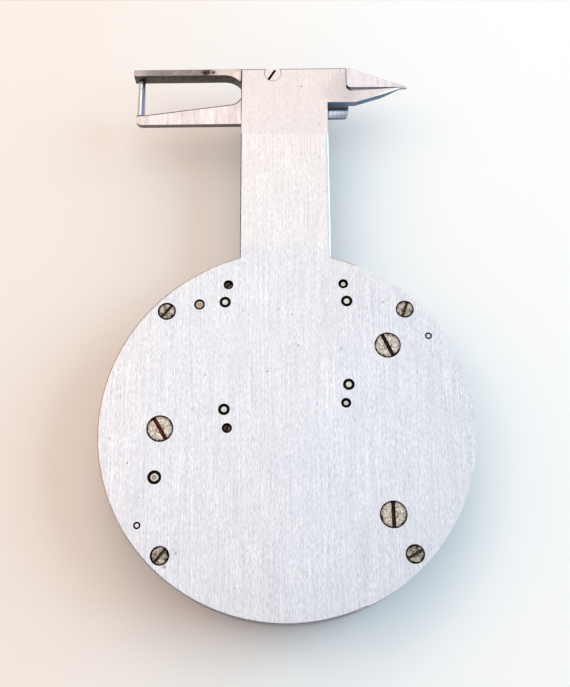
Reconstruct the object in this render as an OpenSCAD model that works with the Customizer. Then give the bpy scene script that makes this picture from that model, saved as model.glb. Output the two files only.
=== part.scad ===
// Lever gauge for cut stones: a round dial case with a neck, and two pairs of
// jaws across the top of the neck. It lies dial down on its bezel.
// +Y runs up the neck to the jaws and +Z is the outer face of the back plate.
// The origin is the dial's axis, in the plane that the bezel rests on.

/* [Case] */
// Diameter of the case and of the round part of the back plate
case_d = 66; // [65.8:0.1:66.4]
// Height from the bezel's rim to the outer face of the back plate
total_h = 13; // [12.9:0.1:14]
// Thickness of the back plate
plate_t = 1.5; // [1.3:0.1:1.5]
// Inner diameter of the case
bore_d = 58; // [57.8:0.1:58.2]
// Small chamfer along the outer edges of the back plate
edge_cut = 0.12; // [0.05:0.01:0.2]

/* [Neck] */
// Width of the neck
neck_w = 16.7; // [16.6:0.02:16.8]
// Distance from the dial's axis to the top of the neck
neck_top = 71.65; // [71.5:0.05:72]
// Depth of the neck below the back plate
neck_depth = 3.9; // [3.6:0.1:4.2]
// Fillet where the neck meets the round case
neck_fillet = 0.3; // [0.2:0.1:0.6]

/* [Slide and jaws] */
// Thickness of the slide and of the fixed arm
slide_t = 1.2; // [1.1:0.05:1.2]
// Width of the slide's stem
stem_w = 10; // [9.8:0.1:10.2]
// Running clearance all round the slide
play = 0.05; // [0.03:0.01:0.06]
// Distance that the slide opens
travel = 12.5; // [10:0.5:12.5]
// Reach of the flat arms, from the dial's axis to their ends
arm_reach = 29.25; // [29:0.05:29.5]
// Height of the moving arm
arm_h = 1.38; // [1.2:0.01:1.4]
// Height of the moving arm's flat underside
anvil_y = 70.35; // [70.3:0.01:70.4]
// Radius of the moving arm's root, round the end of the throat
upper_root_r = 4; // [3.8:0.05:4.2]
// Radius of the fixed arm's root, round the end of the throat
lower_root_r = 2.2; // [2:0.1:2.2]
// Height of the fixed arm's bottom edge
arm_bottom_y = 60.5; // [60.3:0.05:60.6]
// Reach of the pointed jaws, from the dial's axis to their tips
tip_reach = 23.75; // [23.5:0.05:24]
// Height at which the two pointed jaws meet
meet_y = 67.28; // [67.2:0.01:67.35]
// Right edge of the back plate's lug, which carries the fixed pointed jaw
lug_x = 12.05; // [11.9:0.05:12.2]
// Underside of the lug
lug_bottom_y = 64.1; // [64:0.05:64.2]

/* [Measuring post] */
// Diameter of the post at its foot
post_foot_d = 1.45; // [1.3:0.05:1.5]
// Diameter of the post at its tip, which faces the moving arm
post_d = 1.2; // [1.1:0.05:1.3]
// Height at which the post's separate tip starts
tip_joint_y = 68.45; // [68:0.05:69]

/* [Screws and pins] */
// Counterbore of the four corner screws
corner_screw_d = 3.2; // [3:0.05:3.3]
// Counterbore of the three movement screws
big_screw_d = 4.65; // [4.4:0.05:4.8]
// Countersink round each of the rails' dowels
dowel_ring_d = 2.0; // [1.8:0.05:2.1]
// Hole over each of the rails' sunken screws
rail_screw_d = 1.7; // [1.6:0.05:1.8]
// Head of the gib screw at the top of the neck
gib_screw_d = 3.3; // [3:0.05:3.4]

/* [Gear train] */
// Pitch of the rack's teeth
rack_pitch = 1.25; // [1.25:0.01:1.25]
// Teeth on the pinion that the rack turns
rack_pinion_teeth = 14; // [14:1:14]
// Teeth on the drive gear
gear_teeth = 70; // [70:1:70]
// Teeth on the pinion on the pointer's arbor
centre_pinion_teeth = 20; // [20:1:20]
// Module of the drive gear and the centre pinion
gear_mod = 0.25; // [0.25:0.01:0.25]

/* [Dial and glass] */
// Clear diameter of the bezel
window_d = 56; // [55:0.5:56.4]
// Length of the pointer from its axis
pointer_len = 23; // [18:0.5:25]
// Turns of the hairspring
hairspring_turns = 4.5; // [3:0.5:4.5]

/* [Hidden] */
$fn = 96;

steel = "#c9ccd2";
plate_grey = "#d8d9de";
screw_grey = "#8d8780";
dark_steel = "#6f6f6c";
brass = "#c9a659";

case_r = case_d / 2;
bore_r = bore_d / 2;
half_neck = neck_w / 2;
half_stem = stem_w / 2;

// Levels, from the floor up
z_top = total_h;
z_plate = z_top - plate_t;
z_slide_top = z_plate - play;
z_slide = z_slide_top - slide_t;
z_floor = z_slide - play;
z_arm = z_plate - slide_t;
z_neck = z_plate - neck_depth;
z_rail = z_floor - 0.8;
z_rack = z_floor - 1.2;
z_case_front = 1.85;
z_dial = 4;
dial_t = 0.4;
z_movement = z_dial + dial_t;
movement_t = 1.4;
z_train = z_movement + movement_t;
bridge_t = 0.7;
z_centre_bridge = z_rack - 0.15 - bridge_t;

// Where screws, pins and pillars go: x, y and how far the slot is turned
corner_x = 21.48;
corner_y = 21.75;
corner_screws_at = [[-corner_x, corner_y, 50], [corner_x, corner_y, 70],
    [-corner_x, -corner_y, 52], [corner_x, -corner_y, 30]];
pillars_at = [[18.15, 15, 115], [-22.1, 0.1, 120], [18.1, -15.1, 91]];
rail_dowels_at = [[-10.95, 23.4], [-10.95, 3.45], [11.05, 23.4], [11.05, 7.8]];
rail_screws_at = [[-10.4, 26.75, 40], [-10.4, 0.1, 75], [10.5, 26.75, 110], [10.5, 4.45, 20]];
rail_pin_at = [-15.6, 23];
rail_pin_d = 1.9;
spring_post_at = [-22.8, -8.45];
spring_post_ring_d = 2.35;
steady_pins_at = [[25.5, 16.65], [-25.5, -16.65]];
steady_pin_d = 1.2;
gib_screw_at = [-2.2, 70.6, 58];
fit = 0.02;
dowel_d = 1.2;
ring_depth = 0.35;

// The slide's anchor pin also stops it, against the neck's end of the case
anchor_r = 0.8;
anchor_at = [-3, bore_r - 0.25 - anchor_r - travel];

// Neck channel, rails and the pocket that the fixed arm sits in
rail_outer_x = 12.6;
rail_end_y = 29.2;
pocket_y = 46;
left_rail_y = -2;
right_rail_y = 2.4;
lip = 1.1;
right_lip_y = 8.2;
arm_screws_at = [[-6.65, 50, 35], [-6.65, 60, 140]];
tab_screws_at = [[10.2, 66.4, 20], [10.2, 69.6, 75]];
rack_screws_at = [[3.1, -21, 15], [3.1, -7.4, 60]];
root_end_y = 66.95;

// Gear train: the rack turns a pinion, whose gear turns the pointer's pinion
rack_mod = rack_pitch / PI;
rack_pinion_r = rack_pinion_teeth * rack_mod / 2;
gear_r = gear_teeth * gear_mod / 2;
centre_pinion_r = centre_pinion_teeth * gear_mod / 2;
drive_at = [1, -1] * (gear_r + centre_pinion_r) / sqrt(2);
rack_line_x = drive_at.x - rack_pinion_r;
rack_bottom_y = drive_at.y - travel - 2.6;
rack_top_y = drive_at.y + 2.6;
tail_left_x = 1.4;
tail_right_x = half_stem;
stem_bottom_y = 4;
pressure_angle = 20;
backlash = 0.06;
pivot_r = 0.4;
arbor_r = 0.8;
bush_r = 1.1;
z_gear = z_train + 0.5;
gear_t = 0.7;

// Hairspring and return spring
hairspring_r = 1.06;
hairspring_end_r = 5;
hairspring_strip = 0.14;
hairspring_h = 0.4;
z_hairspring = z_gear + gear_t + 0.5;
stud_angle = 150;
stud_r = 0.5;
spring_wire = 0.4;
spring_coil_r = 0.9;
spring_coils = 22;
z_spring = z_train + 1.3;

// ---------- shared shapes ----------

module slab(low, high) translate([0, 0, low]) linear_extrude(high - low) children();

module peg(at, low, high, d) translate([at.x, at.y, low]) cylinder(h = high - low, d = d);

module block(low, high) translate(low) cube(high - low);

// Points on an arc, from one angle to another
function arc(centre, r, from, to, steps) =
    [for (i = [0 : steps]) let (a = from + (to - from) * i / steps) centre + r * [cos(a), sin(a)]];

// A bar that takes a chamfer off the upper edge between two points
module edge_bar(p, q, size, z) {
    side = size * sqrt(2);
    translate([p.x, p.y, z]) rotate([0, 0, atan2(q.y - p.y, q.x - p.x)]) rotate([45, 0, 0])
        translate([0, -side / 2, -side / 2]) cube([norm(q - p), side, side]);
}

// A turned screw with a slotted head whose top is at z
module slotted_screw(at, head_d, head_h, z, shank_d, shank_z, slot_w) {
    bevel = head_d / 22;
    slot_h = head_h * 0.6;
    translate([at.x, at.y, 0]) rotate([0, 0, at.z]) difference() {
        rotate_extrude() polygon([[0, shank_z], [shank_d / 2, shank_z], [shank_d / 2, z - head_h],
            [head_d / 2, z - head_h], [head_d / 2, z - bevel], [head_d / 2 - bevel, z], [0, z]]);
        translate([-head_d, -slot_w / 2, z - slot_h]) cube([2 * head_d, slot_w, head_h]);
    }
}

// The same screw, put in from the dial's side
module screw_from_below(at, head_d, head_h, z, shank_d, shank_z, slot_w)
    translate([at.x, at.y, 0]) mirror([0, 0, 1])
        slotted_screw([0, 0, at.z], head_d, head_h, -z, shank_d, -shank_z, slot_w);

// Involute flanks: the angle that half a tooth takes up at radius r
function roll(r, base_r) = let (a = acos(min(1, base_r / r))) tan(a) * 180 / PI - a;
function half_tooth(r, pitch_r, mod) = let (base_r = pitch_r * cos(pressure_angle))
    (PI * mod / 2 - backlash) / 2 / pitch_r * 180 / PI
    + roll(pitch_r, base_r) - roll(max(r, base_r), base_r);
function flank(pitch_r, mod) = [pitch_r - 1.2 * mod, pitch_r - 0.5 * mod, pitch_r, pitch_r + 0.85 * mod];
function gear_outline(teeth, mod, first) = let (pitch_r = teeth * mod / 2, radii = flank(pitch_r, mod))
    [for (k = [0 : teeth - 1], side = [-1, 1], i = [0 : 3])
        let (r = side < 0 ? radii[i] : radii[3 - i],
            a = first + 360 * k / teeth + side * half_tooth(r, pitch_r, mod)) r * [cos(a), sin(a)]];

module toothed_wheel(teeth, mod, first, low, high, hub_d) difference() {
    slab(low, high) polygon(gear_outline(teeth, mod, first));
    peg([0, 0], low - 1, high + 1, hub_d);
}

module ring_turned(points) rotate_extrude($fn = 180) polygon(points);

// ---------- back plate and its screws ----------

jaw_tip = [tip_reach, meet_y - play / 2];
lug_fillet_r = 0.95;
jaw_root = [lug_x + lug_fillet_r, 66.65];
jaw_under = [13.6, lug_bottom_y];
jaw_bend = [19.9, 66.1];
jaw_waist = [22.5, 67.08];

// Fills the corner between the round case and one side of the neck
module neck_corner(low, high) {
    cx = half_neck + neck_fillet;
    cy = sqrt(pow(case_r + neck_fillet, 2) - pow(cx, 2));
    touch = [cx, cy] * case_r / (case_r + neck_fillet);
    difference() {
        slab(low, high) polygon([
            [half_neck - 1, cy], [cx, cy], touch, touch * 0.97, [half_neck - 1, touch.y - 1]]);
        peg([cx, cy], low - 1, high + 1, 2 * neck_fillet);
    }
}

module neck_corners(low, high) for (side = [0, 1]) mirror([side, 0, 0]) neck_corner(low, high);

// Neck, lug and fixed pointed jaw, as one outline
module neck_and_lug() polygon(concat(
    [[-half_neck, 20], [-half_neck, neck_top], [lug_x, neck_top]],
    arc(jaw_root + [0, lug_fillet_r], lug_fillet_r, 180, 266, 8),
    [jaw_tip, jaw_tip - [0, 0.1], jaw_waist, jaw_bend, jaw_under],
    [[half_neck, lug_bottom_y], [half_neck, 20]]));

// Everything above a plane that slopes down on the right of the line between two points
module above_bevel(from, to, tilt) translate([from.x, from.y, z_top])
    rotate([0, 0, atan2(to.y - from.y, to.x - from.x)]) rotate([tilt, 0, 0])
        translate([-4, -8, 0]) cube([18, 8, 5]);

// A shallow facet along the fixed pointed jaw, and a long bevel that thins its tip from behind
module fixed_jaw_bevels() {
    intersection() {
        above_bevel(jaw_under + [0.3, 0.3], jaw_bend + [-0.4, 0.91], 18);
        above_bevel(jaw_root + [0, 0.05], jaw_tip + [0, 0.05], 18);
    }
    translate([0, 70, 0]) rotate([90, 0, 0]) linear_extrude(10)
        polygon([[18.6, z_plate - 1], [18.6, z_plate], [22.2, z_top - 0.52], [tip_reach + 1, z_top - 0.22],
            [tip_reach + 1, z_plate - 1]]);
}

module back_plate_edges() {
    rim_y = sqrt(pow(case_r, 2) - pow(half_neck, 2));
    edge_bar([-half_neck, rim_y + neck_fillet], [-half_neck, neck_top], edge_cut, z_top);
    edge_bar([half_neck, rim_y + neck_fillet], [half_neck, lug_bottom_y], edge_cut, z_top);
    edge_bar([-half_neck, neck_top], [lug_x, neck_top], edge_cut, z_top);
    edge_bar([lug_x, neck_top], [lug_x, jaw_root.y + lug_fillet_r], edge_cut, z_top);
    edge_bar([half_neck, lug_bottom_y], jaw_under + [0.5, 0], edge_cut, z_top);
}

module back_plate() color(plate_grey) difference() {
    union() {
        ring_turned([[0, z_plate], [case_r, z_plate], [case_r, z_top - edge_cut],
            [case_r - edge_cut, z_top], [0, z_top]]);
        slab(z_plate, z_top) neck_and_lug();
        neck_corners(z_plate, z_top);
    }
    back_plate_edges();
    fixed_jaw_bevels();
    for (at = corner_screws_at) {
        peg(at, z_top - 0.75, z_top + 1, corner_screw_d);
        peg(at, z_plate - 1, z_top, 1.9);
    }
    for (at = pillars_at) {
        peg(at, z_top - 0.85, z_top + 1, big_screw_d);
        peg(at, z_plate - 1, z_top, 2.3);
    }
    for (at = rail_dowels_at) {
        peg(at, z_top - ring_depth, z_top + 1, dowel_ring_d);
        peg(at, z_plate - 1, z_top, dowel_d + 2 * fit);
    }
    for (at = rail_screws_at) {
        peg(at, z_top - 0.9, z_top + 1, rail_screw_d);
        peg(at, z_plate - 1, z_top, 1.1);
    }
    peg(spring_post_at, z_top - ring_depth, z_top + 1, spring_post_ring_d);
    peg(spring_post_at, z_plate - 1, z_top, 1.5);
    peg(rail_pin_at, z_plate - 1, z_top + 1, rail_pin_d + 2 * fit);
    for (at = steady_pins_at) peg(at, z_plate - 1, z_top + 1, steady_pin_d + 2 * fit);
    peg(gib_screw_at, z_top - 0.7, z_top + 1, gib_screw_d + 2 * fit);
    peg(gib_screw_at, z_plate - 1, z_top, 1.6 + 2 * fit);
}

module corner_screws() color(screw_grey) for (at = corner_screws_at)
    slotted_screw(at, corner_screw_d - 0.22, 0.68, z_top - 0.06, 1.8, z_plate - 3.5, 0.42);

module movement_screws() color(screw_grey) for (at = pillars_at)
    slotted_screw(at, big_screw_d - 0.26, 0.78, z_top - 0.06, 2.2, z_plate - 1, 0.62);

module rail_screws() color(dark_steel) for (at = rail_screws_at)
    slotted_screw(at, rail_screw_d - 0.12, 0.5, z_top - 0.38, 1, z_rail + 0.4, 0.3);

module rail_dowels() color(steel) for (at = rail_dowels_at)
    peg(at, z_rail + 0.3, z_top - 0.03, dowel_d);

module rail_pin() color("#9a9a9c") {
    peg(rail_pin_at, z_plate, z_top - 0.03, rail_pin_d);
    peg(rail_pin_at, z_rail + 0.3, z_plate, dowel_d);
}

module steady_pins() color(steel) for (at = steady_pins_at)
    peg(at, z_plate - 2, z_top - 0.03, steady_pin_d);

// The head is filed flush with the plate's top edge
module gib_screw() color(plate_grey) difference() {
    slotted_screw(gib_screw_at, gib_screw_d, 0.68, z_top, 1.6, z_plate + 0.02, 0.38);
    block([-6, neck_top, z_plate - 1], [6, neck_top + 4, z_top + 1]);
    edge_bar([-6, neck_top], [6, neck_top], edge_cut, z_top);
}

// ---------- case, bezel and glass ----------

spigot_r = 31.4;
bezel_r = 32.6;
z_bezel = 3.05;
seat_r = 30.3;
z_glass = 0.75;
z_seat = 1.65;

// Outline of the neck seen from its end, with its two front edges taken off
neck_edge = 0.9;
module neck_bar(from_y, to_y) translate([0, to_y, 0]) rotate([90, 0, 0]) linear_extrude(to_y - from_y)
    polygon([[-half_neck, z_plate], [-half_neck, z_neck + neck_edge], [-half_neck + neck_edge, z_neck],
        [half_neck - neck_edge, z_neck], [half_neck, z_neck + neck_edge], [half_neck, z_plate]]);

module case_body() color(steel) difference() {
    union() {
        ring_turned([[bore_r, z_case_front], [spigot_r, z_case_front], [spigot_r, z_bezel + 0.05],
            [bezel_r, z_bezel + 0.05], [case_r, z_bezel + 0.5], [case_r, z_plate], [bore_r, z_plate]]);
        difference() {
            union() {
                neck_bar(20, neck_top - play);
                neck_corners(z_neck, z_plate);
            }
            peg([0, 0], z_neck - 1, z_plate + 1, bore_d);
        }
    }
    // recess for the two rails, then the channel that the slide runs in
    block([-rail_outer_x - fit, 15, z_rail - fit], [rail_outer_x + fit, rail_end_y + fit, z_plate + 1]);
    block([-half_stem - play, 20, z_floor], [half_stem + play, neck_top + 1, z_plate + 1]);
    // pocket for the fixed arm's root, and the ways out for the slide's arms
    block([-half_neck - 1, pocket_y, z_arm], [-half_stem, root_end_y, z_plate + 1]);
    block([-half_neck - 1, left_head_y - play, z_floor], [0, neck_top + 1, z_plate + 1]);
    block([0, lug_bottom_y - play, z_floor], [half_neck + 1, neck_top + 1, z_plate + 1]);
    for (at = corner_screws_at) peg(at, z_plate - 4, z_plate + 1, 1.8 + 2 * fit);
    for (at = steady_pins_at) peg(at, z_plate - 2.4, z_plate + 1, steady_pin_d + 2 * fit);
    for (at = arm_screws_at) peg(at, z_arm - 1.6, z_plate, 1.1 + 2 * fit);
}

module bezel() color(steel) ring_turned(concat(
    [[window_d / 2, z_glass], [window_d / 2, 0.45], [window_d / 2 + 0.6, 0]],
    arc([bezel_r - 1.2, 1.2], 1.2, -90, 0, 8),
    [[bezel_r, z_bezel], [spigot_r + 0.05, z_bezel], [spigot_r + 0.05, z_case_front - 0.05],
        [seat_r, z_case_front - 0.05], [seat_r, z_glass]]));

module crystal() color("#dfe8ee", 0.35)
    translate([0, 0, z_glass]) cylinder(h = z_seat - z_glass, r = seat_r - 0.05, $fn = 180);

module crystal_gasket() color("#2b2b2b")
    ring_turned([[bore_r + 0.1, z_seat], [seat_r - 0.1, z_seat], [seat_r - 0.1, z_case_front],
        [bore_r + 0.1, z_case_front]]);

// ---------- fixed arm and measuring post ----------

arm_end_x = arm_reach - 0.4;
arm_corner_r = 1.25;
post_x = -arm_reach + 1.35;
post_foot_y = 62.6;
throat_x = half_neck;
root_centre = [-throat_x - lower_root_r, root_end_y];
arm_slope = 7.35;

// The arm rises from the post's foot to the root of the throat, in the neck's pocket
module fixed_arm() color(steel) difference() {
    slab(z_arm, z_plate) polygon(concat(
        [[post_x + post_foot_d / 2 + 0.2, post_foot_y]],
        arc(root_centre, lower_root_r, arm_slope - 90, 0, 14),
        [[-half_stem, root_end_y], [-half_stem, pocket_y], [-half_neck, pocket_y]],
        [[-half_neck, arm_bottom_y]],
        arc([-arm_end_x + arm_corner_r, arm_bottom_y + arm_corner_r], arm_corner_r, 270, 180, 8),
        [[-arm_end_x, post_foot_y - 0.35], [-arm_end_x + 0.3, post_foot_y]]));
    for (at = arm_screws_at) {
        peg(at, z_plate - 0.6, z_plate + 1, 2.2);
        peg(at, z_arm - 1, z_plate, 1.1 + 2 * fit);
    }
    translate([post_x, post_foot_y, z_arm + slide_t / 2]) rotate([90, 0, 0])
        cylinder(h = 1.4, d = 0.7 + 2 * fit);
}

module arm_screws() color(screw_grey) for (at = arm_screws_at)
    slotted_screw(at, 2.1, 0.56, z_plate - 0.03, 1.1, z_arm - 1.2, 0.3);

// A turned rod along +Y: pairs of radius and height
module rod_y(points) translate([post_x, 0, z_arm + slide_t / 2]) rotate([-90, 0, 0])
    rotate_extrude($fn = 48) polygon(points);

module measuring_post() color(steel) difference() {
    rod_y([[0, post_foot_y - 1.3], [0.35, post_foot_y - 1.3], [0.35, post_foot_y],
        [post_foot_d / 2, post_foot_y], [post_d / 2, tip_joint_y - 0.06],
        [post_d / 2 - 0.06, tip_joint_y], [0, tip_joint_y]]);
    rod_y([[0, tip_joint_y - 1], [0.3 + fit, tip_joint_y - 1],
        [0.3 + fit, tip_joint_y + 1], [0, tip_joint_y + 1]]);
}

module post_tip() color(steel) rod_y([
    [0, tip_joint_y - 0.9], [0.3, tip_joint_y - 0.9], [0.3, tip_joint_y], [post_d / 2 - 0.06, tip_joint_y],
    [post_d / 2 - 0.03, tip_joint_y + 0.05], [post_d / 2 - 0.03, anvil_y - 0.3],
    [post_d / 2 - 0.2, anvil_y - play], [0, anvil_y - play]]);

// ---------- slide with the moving arm and the moving pointed jaw ----------

slide_top_y = neck_top - 0.03;
arm_left = half_neck + play;
jaw_left = lug_x + play;
arm_top_y = anvil_y + arm_h;
root_run = 3.3;
left_head_y = anvil_y - upper_root_r + sqrt(pow(upper_root_r, 2) - pow(root_run, 2));
moving_tip = [tip_reach, meet_y + play / 2];
relief = 0.1;
land_x = 20.6;

module slide_plate() slab(z_slide, z_slide_top) polygon([
    [-arm_left - 0.5, slide_top_y], [jaw_left + 0.5, slide_top_y], [jaw_left + 0.5, lug_bottom_y + 3.7],
    [jaw_left, lug_bottom_y + 3.6], [jaw_left, lug_bottom_y], [half_stem, lug_bottom_y],
    [half_stem, stem_bottom_y], [tail_right_x, rack_bottom_y], [tail_left_x, rack_bottom_y],
    [tail_left_x, stem_bottom_y - 1.6],
    [tail_left_x - 1.6, stem_bottom_y], [-half_stem + 1, stem_bottom_y], [-half_stem, stem_bottom_y + 1],
    [-half_stem, left_head_y], [-arm_left, left_head_y], [-arm_left - 0.5, left_head_y + 1.2]]);

module moving_arm() slab(z_slide, z_top) polygon(concat(
    [[-arm_reach, arm_top_y], [-arm_left, arm_top_y]],
    arc([-arm_left - root_run, anvil_y - upper_root_r], upper_root_r,
        acos(root_run / upper_root_r), 90, 14),
    [[-arm_reach, anvil_y]]));

module moving_jaw() intersection() {
    slab(z_slide, z_top) polygon(concat(
        [[jaw_left, slide_top_y], [jaw_left + 0.75, slide_top_y], moving_tip + [0, 0.1], moving_tip,
            [land_x, meet_y + play / 2]],
        arc([jaw_left + 0.9, meet_y + relief + 0.9], 0.9, 270, 180, 6)));
    // thinned from the dial's side towards the tip
    translate([0, 80, 0]) rotate([90, 0, 0]) linear_extrude(20)
        polygon([[0, z_top], [tip_reach + 1, z_top], [tip_reach + 1, z_top - 0.8], [tip_reach, z_top - 0.9],
            [jaw_left + 1.6, z_slide], [0, z_slide]]);
}

module jaw_slide() color(steel) difference() {
    union() {
        slide_plate();
        moving_arm();
        moving_jaw();
    }
    edge_bar([-arm_reach - 1, arm_top_y], [-arm_left + 1, arm_top_y], edge_cut, z_top);
    edge_bar([-arm_reach, anvil_y - 1], [-arm_reach, arm_top_y + 1], edge_cut, z_top);
    edge_bar([jaw_left + 0.75, slide_top_y], moving_tip + [0, 0.1], edge_cut, z_top);
    for (at = rack_screws_at) {
        peg(at, z_slide_top - 0.6, z_slide_top + 1, 1.7);
        peg(at, z_slide - 1, z_slide_top, 0.9 + 2 * fit);
    }
    for (at = tab_screws_at) peg(at, z_slide - 1, z_slide + 0.9, 0.9 + 2 * fit);
    peg(anchor_at, z_slide - 1, z_slide_top + 1, 1.2 + 2 * fit);
}

// Rounded tab behind the lug, which a finger pushes up to open the jaws
tab_left = half_neck + 0.12;
tab_right = lug_x + 0.45;
tab_bottom_y = 62.5;
tab_corner_r = 1.1;
module thumb_tab() color(steel) difference() {
    intersection() {
        slab(z_slide - 3, z_slide) polygon(concat(
            [[tab_left, tab_bottom_y]],
            arc([tab_right - tab_corner_r, tab_bottom_y + tab_corner_r], tab_corner_r, 270, 360, 8),
            [[tab_right, slide_top_y - 0.6], [tab_left, slide_top_y - 0.6]]));
        translate([0, 0, z_slide]) rotate([90, 0, 90]) linear_extrude(20)
            polygon([[tab_bottom_y, 0], [tab_bottom_y, -1.1], [tab_bottom_y + 0.3, -1.35],
                [tab_bottom_y + 2.2, -2.1], [slide_top_y - 1.6, -2.1], [slide_top_y - 0.6, -1.1],
                [slide_top_y - 0.6, 0]]);
    }
    for (at = tab_screws_at) {
        peg(at, z_slide - 4, z_slide - 1.5, 1.7);
        peg(at, z_slide - 3, z_slide + 1, 0.9 + 2 * fit);
    }
}

module tab_screws() color(screw_grey) for (at = tab_screws_at)
    screw_from_below(at, 1.6, 0.5, z_slide - 2.04, 0.9, z_slide + 0.8, 0.25);

// Straight teeth that face the pinion, in step with it when the jaws are shut
tooth_top = 0.8 * rack_mod;
tooth_root = 1.2 * rack_mod;
module rack() color(brass) difference() {
    slab(z_rack, z_slide) union() {
        translate([tail_left_x, rack_bottom_y])
            square([rack_line_x - tooth_root - tail_left_x, rack_top_y - rack_bottom_y]);
        half = (rack_pitch / 2 - backlash) / 2;
        for (k = [-11 : 1]) translate([rack_line_x, drive_at.y + (k + 0.5) * rack_pitch]) polygon([
            [-tooth_root - 0.2, -half - tooth_root * tan(pressure_angle)],
            [-tooth_root, -half - tooth_root * tan(pressure_angle)],
            [tooth_top, -half + tooth_top * tan(pressure_angle)],
            [tooth_top, half - tooth_top * tan(pressure_angle)],
            [-tooth_root, half + tooth_root * tan(pressure_angle)],
            [-tooth_root - 0.2, half + tooth_root * tan(pressure_angle)]]);
    }
    for (at = rack_screws_at) peg(at, z_rack - 1, z_slide + 1, 0.9 + 2 * fit);
    // the teeth pass under the right rail
    block([half_stem, rack_bottom_y - 1, z_floor - play], [half_stem + 2, rack_top_y + 1, z_slide + 1]);
}

module rack_screws() color(screw_grey) for (at = rack_screws_at)
    slotted_screw(at, 1.6, 0.55, z_slide_top - 0.04, 0.9, z_rack + 0.1, 0.25);

module anchor_pin() color(dark_steel) {
    peg(anchor_at, z_slide, z_slide_top, 1.2);
    peg(anchor_at, z_spring - 0.6, z_slide, 2 * anchor_r);
}

// ---------- rails, posts and return spring ----------

module rail(side, low_y, lip_y) difference() {
    union() {
        block([half_stem + play, low_y, z_floor], [rail_outer_x, rail_end_y, z_plate]);
        block([half_stem - lip, lip_y, z_rail], [rail_outer_x, rail_end_y, z_floor]);
        if (lip_y > low_y) block([half_stem + play + 2, low_y, z_rail], [rail_outer_x, lip_y, z_floor]);
        children();
    }
    for (at = rail_dowels_at) peg([side * at.x, at.y], z_rail - 1, z_plate + 1, dowel_d + 2 * fit);
    for (at = rail_screws_at) peg([side * at.x, at.y], z_rail - 1, z_plate + 1, 1 + 2 * fit);
}

module left_rail() color(steel) mirror([1, 0, 0]) difference() {
    rail(-1, left_rail_y, left_rail_y) {
        peg([-rail_pin_at.x, rail_pin_at.y], z_rail, z_plate, 2.4);
        block([rail_outer_x - 1, rail_pin_at.y - 0.9, z_rail],
            [-rail_pin_at.x, rail_pin_at.y + 0.9, z_plate]);
    }
    peg([-rail_pin_at.x, rail_pin_at.y], z_rail - 1, z_plate + 1, dowel_d + 2 * fit);
}

module right_rail() color(steel) rail(1, right_rail_y, right_lip_y);

module spring_post() color(dark_steel) {
    peg(spring_post_at, z_plate, z_top - 0.03, 1.4);
    peg(spring_post_at, z_spring - 0.8, z_plate, 1.6);
}

// Close-wound coils as a ribbed tube, with a straight leg and an eye at each end
module return_spring() color(dark_steel) {
    span = anchor_at - spring_post_at;
    dist = norm(span);
    coil_len = spring_coils * spring_wire;
    start = (dist - coil_len) / 2;
    wire_r = spring_wire / 2;
    translate([spring_post_at.x, spring_post_at.y, z_spring]) rotate([0, 0, atan2(span.y, span.x)]) {
        translate([start, 0, 0]) rotate([0, 90, 0]) rotate_extrude($fn = 36) polygon(concat(
            [[spring_coil_r - spring_wire, 0]],
            [for (i = [0 : spring_coils - 1], a = [-67.5, -22.5, 22.5, 67.5])
                [spring_coil_r - wire_r + wire_r * cos(a), (i + 0.5) * spring_wire + wire_r * sin(a)]],
            [[spring_coil_r - spring_wire, coil_len]]));
        for (end = [0, 1]) {
            eye_r = (end == 0 ? 0.8 : anchor_r) + wire_r + 0.05;
            mirror([end, 0, 0]) translate([-end * dist, 0, 0]) {
                translate([eye_r, 0, 0]) rotate([0, 90, 0])
                    cylinder(h = start - eye_r + wire_r, r = wire_r, $fn = 24);
                translate([start, 0, 0]) rotate([0, 90, 0])
                    cylinder(h = wire_r, r = spring_coil_r - wire_r, $fn = 36);
                rotate_extrude($fn = 36) translate([eye_r, 0]) circle(wire_r, $fn = 16);
            }
        }
    }
}

// ---------- movement ----------

module movement_plate() color(brass) difference() {
    peg([0, 0], z_movement, z_train, bore_d - 0.2);
    for (at = [[0, 0], drive_at]) peg(at, z_movement - 1, z_train + 1, 2 * (bush_r + fit));
    for (at = pillars_at) peg(at, z_movement + 0.4, z_train + 1, 2.4 + 2 * fit);
    for (at = dial_screws_at) peg(at, z_movement - 1, z_train - 0.4, 0.9 + 2 * fit);
    peg(stud_at, z_movement + 0.4, z_train + 1, 2 * (stud_r + fit));
}

// Each pillar: a foot in the movement plate, a body, and a neck that a bridge sits on
module pillar(at, shoulder_z, has_bridge) {
    neck_d = has_bridge ? 3.4 : 5;
    difference() {
        union() {
            peg(at, z_movement + 0.4, z_train, 2.4);
            peg(at, z_train, shoulder_z, 5);
            peg(at, shoulder_z, z_plate, neck_d);
        }
        peg(at, z_plate - 1.6, z_plate + 1, 2.2 + 2 * fit);
    }
}

module pillars() color(brass) {
    pillar(pillars_at[0], z_slide, false);
    pillar(pillars_at[1], z_centre_bridge, true);
    pillar(pillars_at[2], z_arm, true);
}

// A bridge from a pillar to an arbor
module bridge(from, to, low, high, end_r) {
    span = to - from;
    difference() {
        union() {
            peg(from, low, high, 5.8);
            peg(to, low, high, 2 * end_r);
            translate([from.x, from.y, low]) rotate([0, 0, atan2(span.y, span.x)])
                translate([0, -end_r + 0.3, 0]) cube([norm(span), 2 * end_r - 0.6, high - low]);
        }
        peg(from, low - 1, high + 1, 3.4 + 2 * fit);
        peg(to, low - 1, high + 1, 2 * (bush_r + fit));
    }
}

function flat(at) = [at.x, at.y];

module centre_bridge() color(brass)
    bridge(flat(pillars_at[1]), [0, 0], z_centre_bridge, z_centre_bridge + bridge_t, 2.1);

module drive_bridge() color(brass)
    bridge(flat(pillars_at[2]), drive_at, z_arm, z_plate - play, 1.9);

module bush(at, low, high) difference() {
    peg(at, low, high, 2 * bush_r);
    peg(at, low - 1, high + 1, 2 * (pivot_r + 0.03));
}

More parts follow.
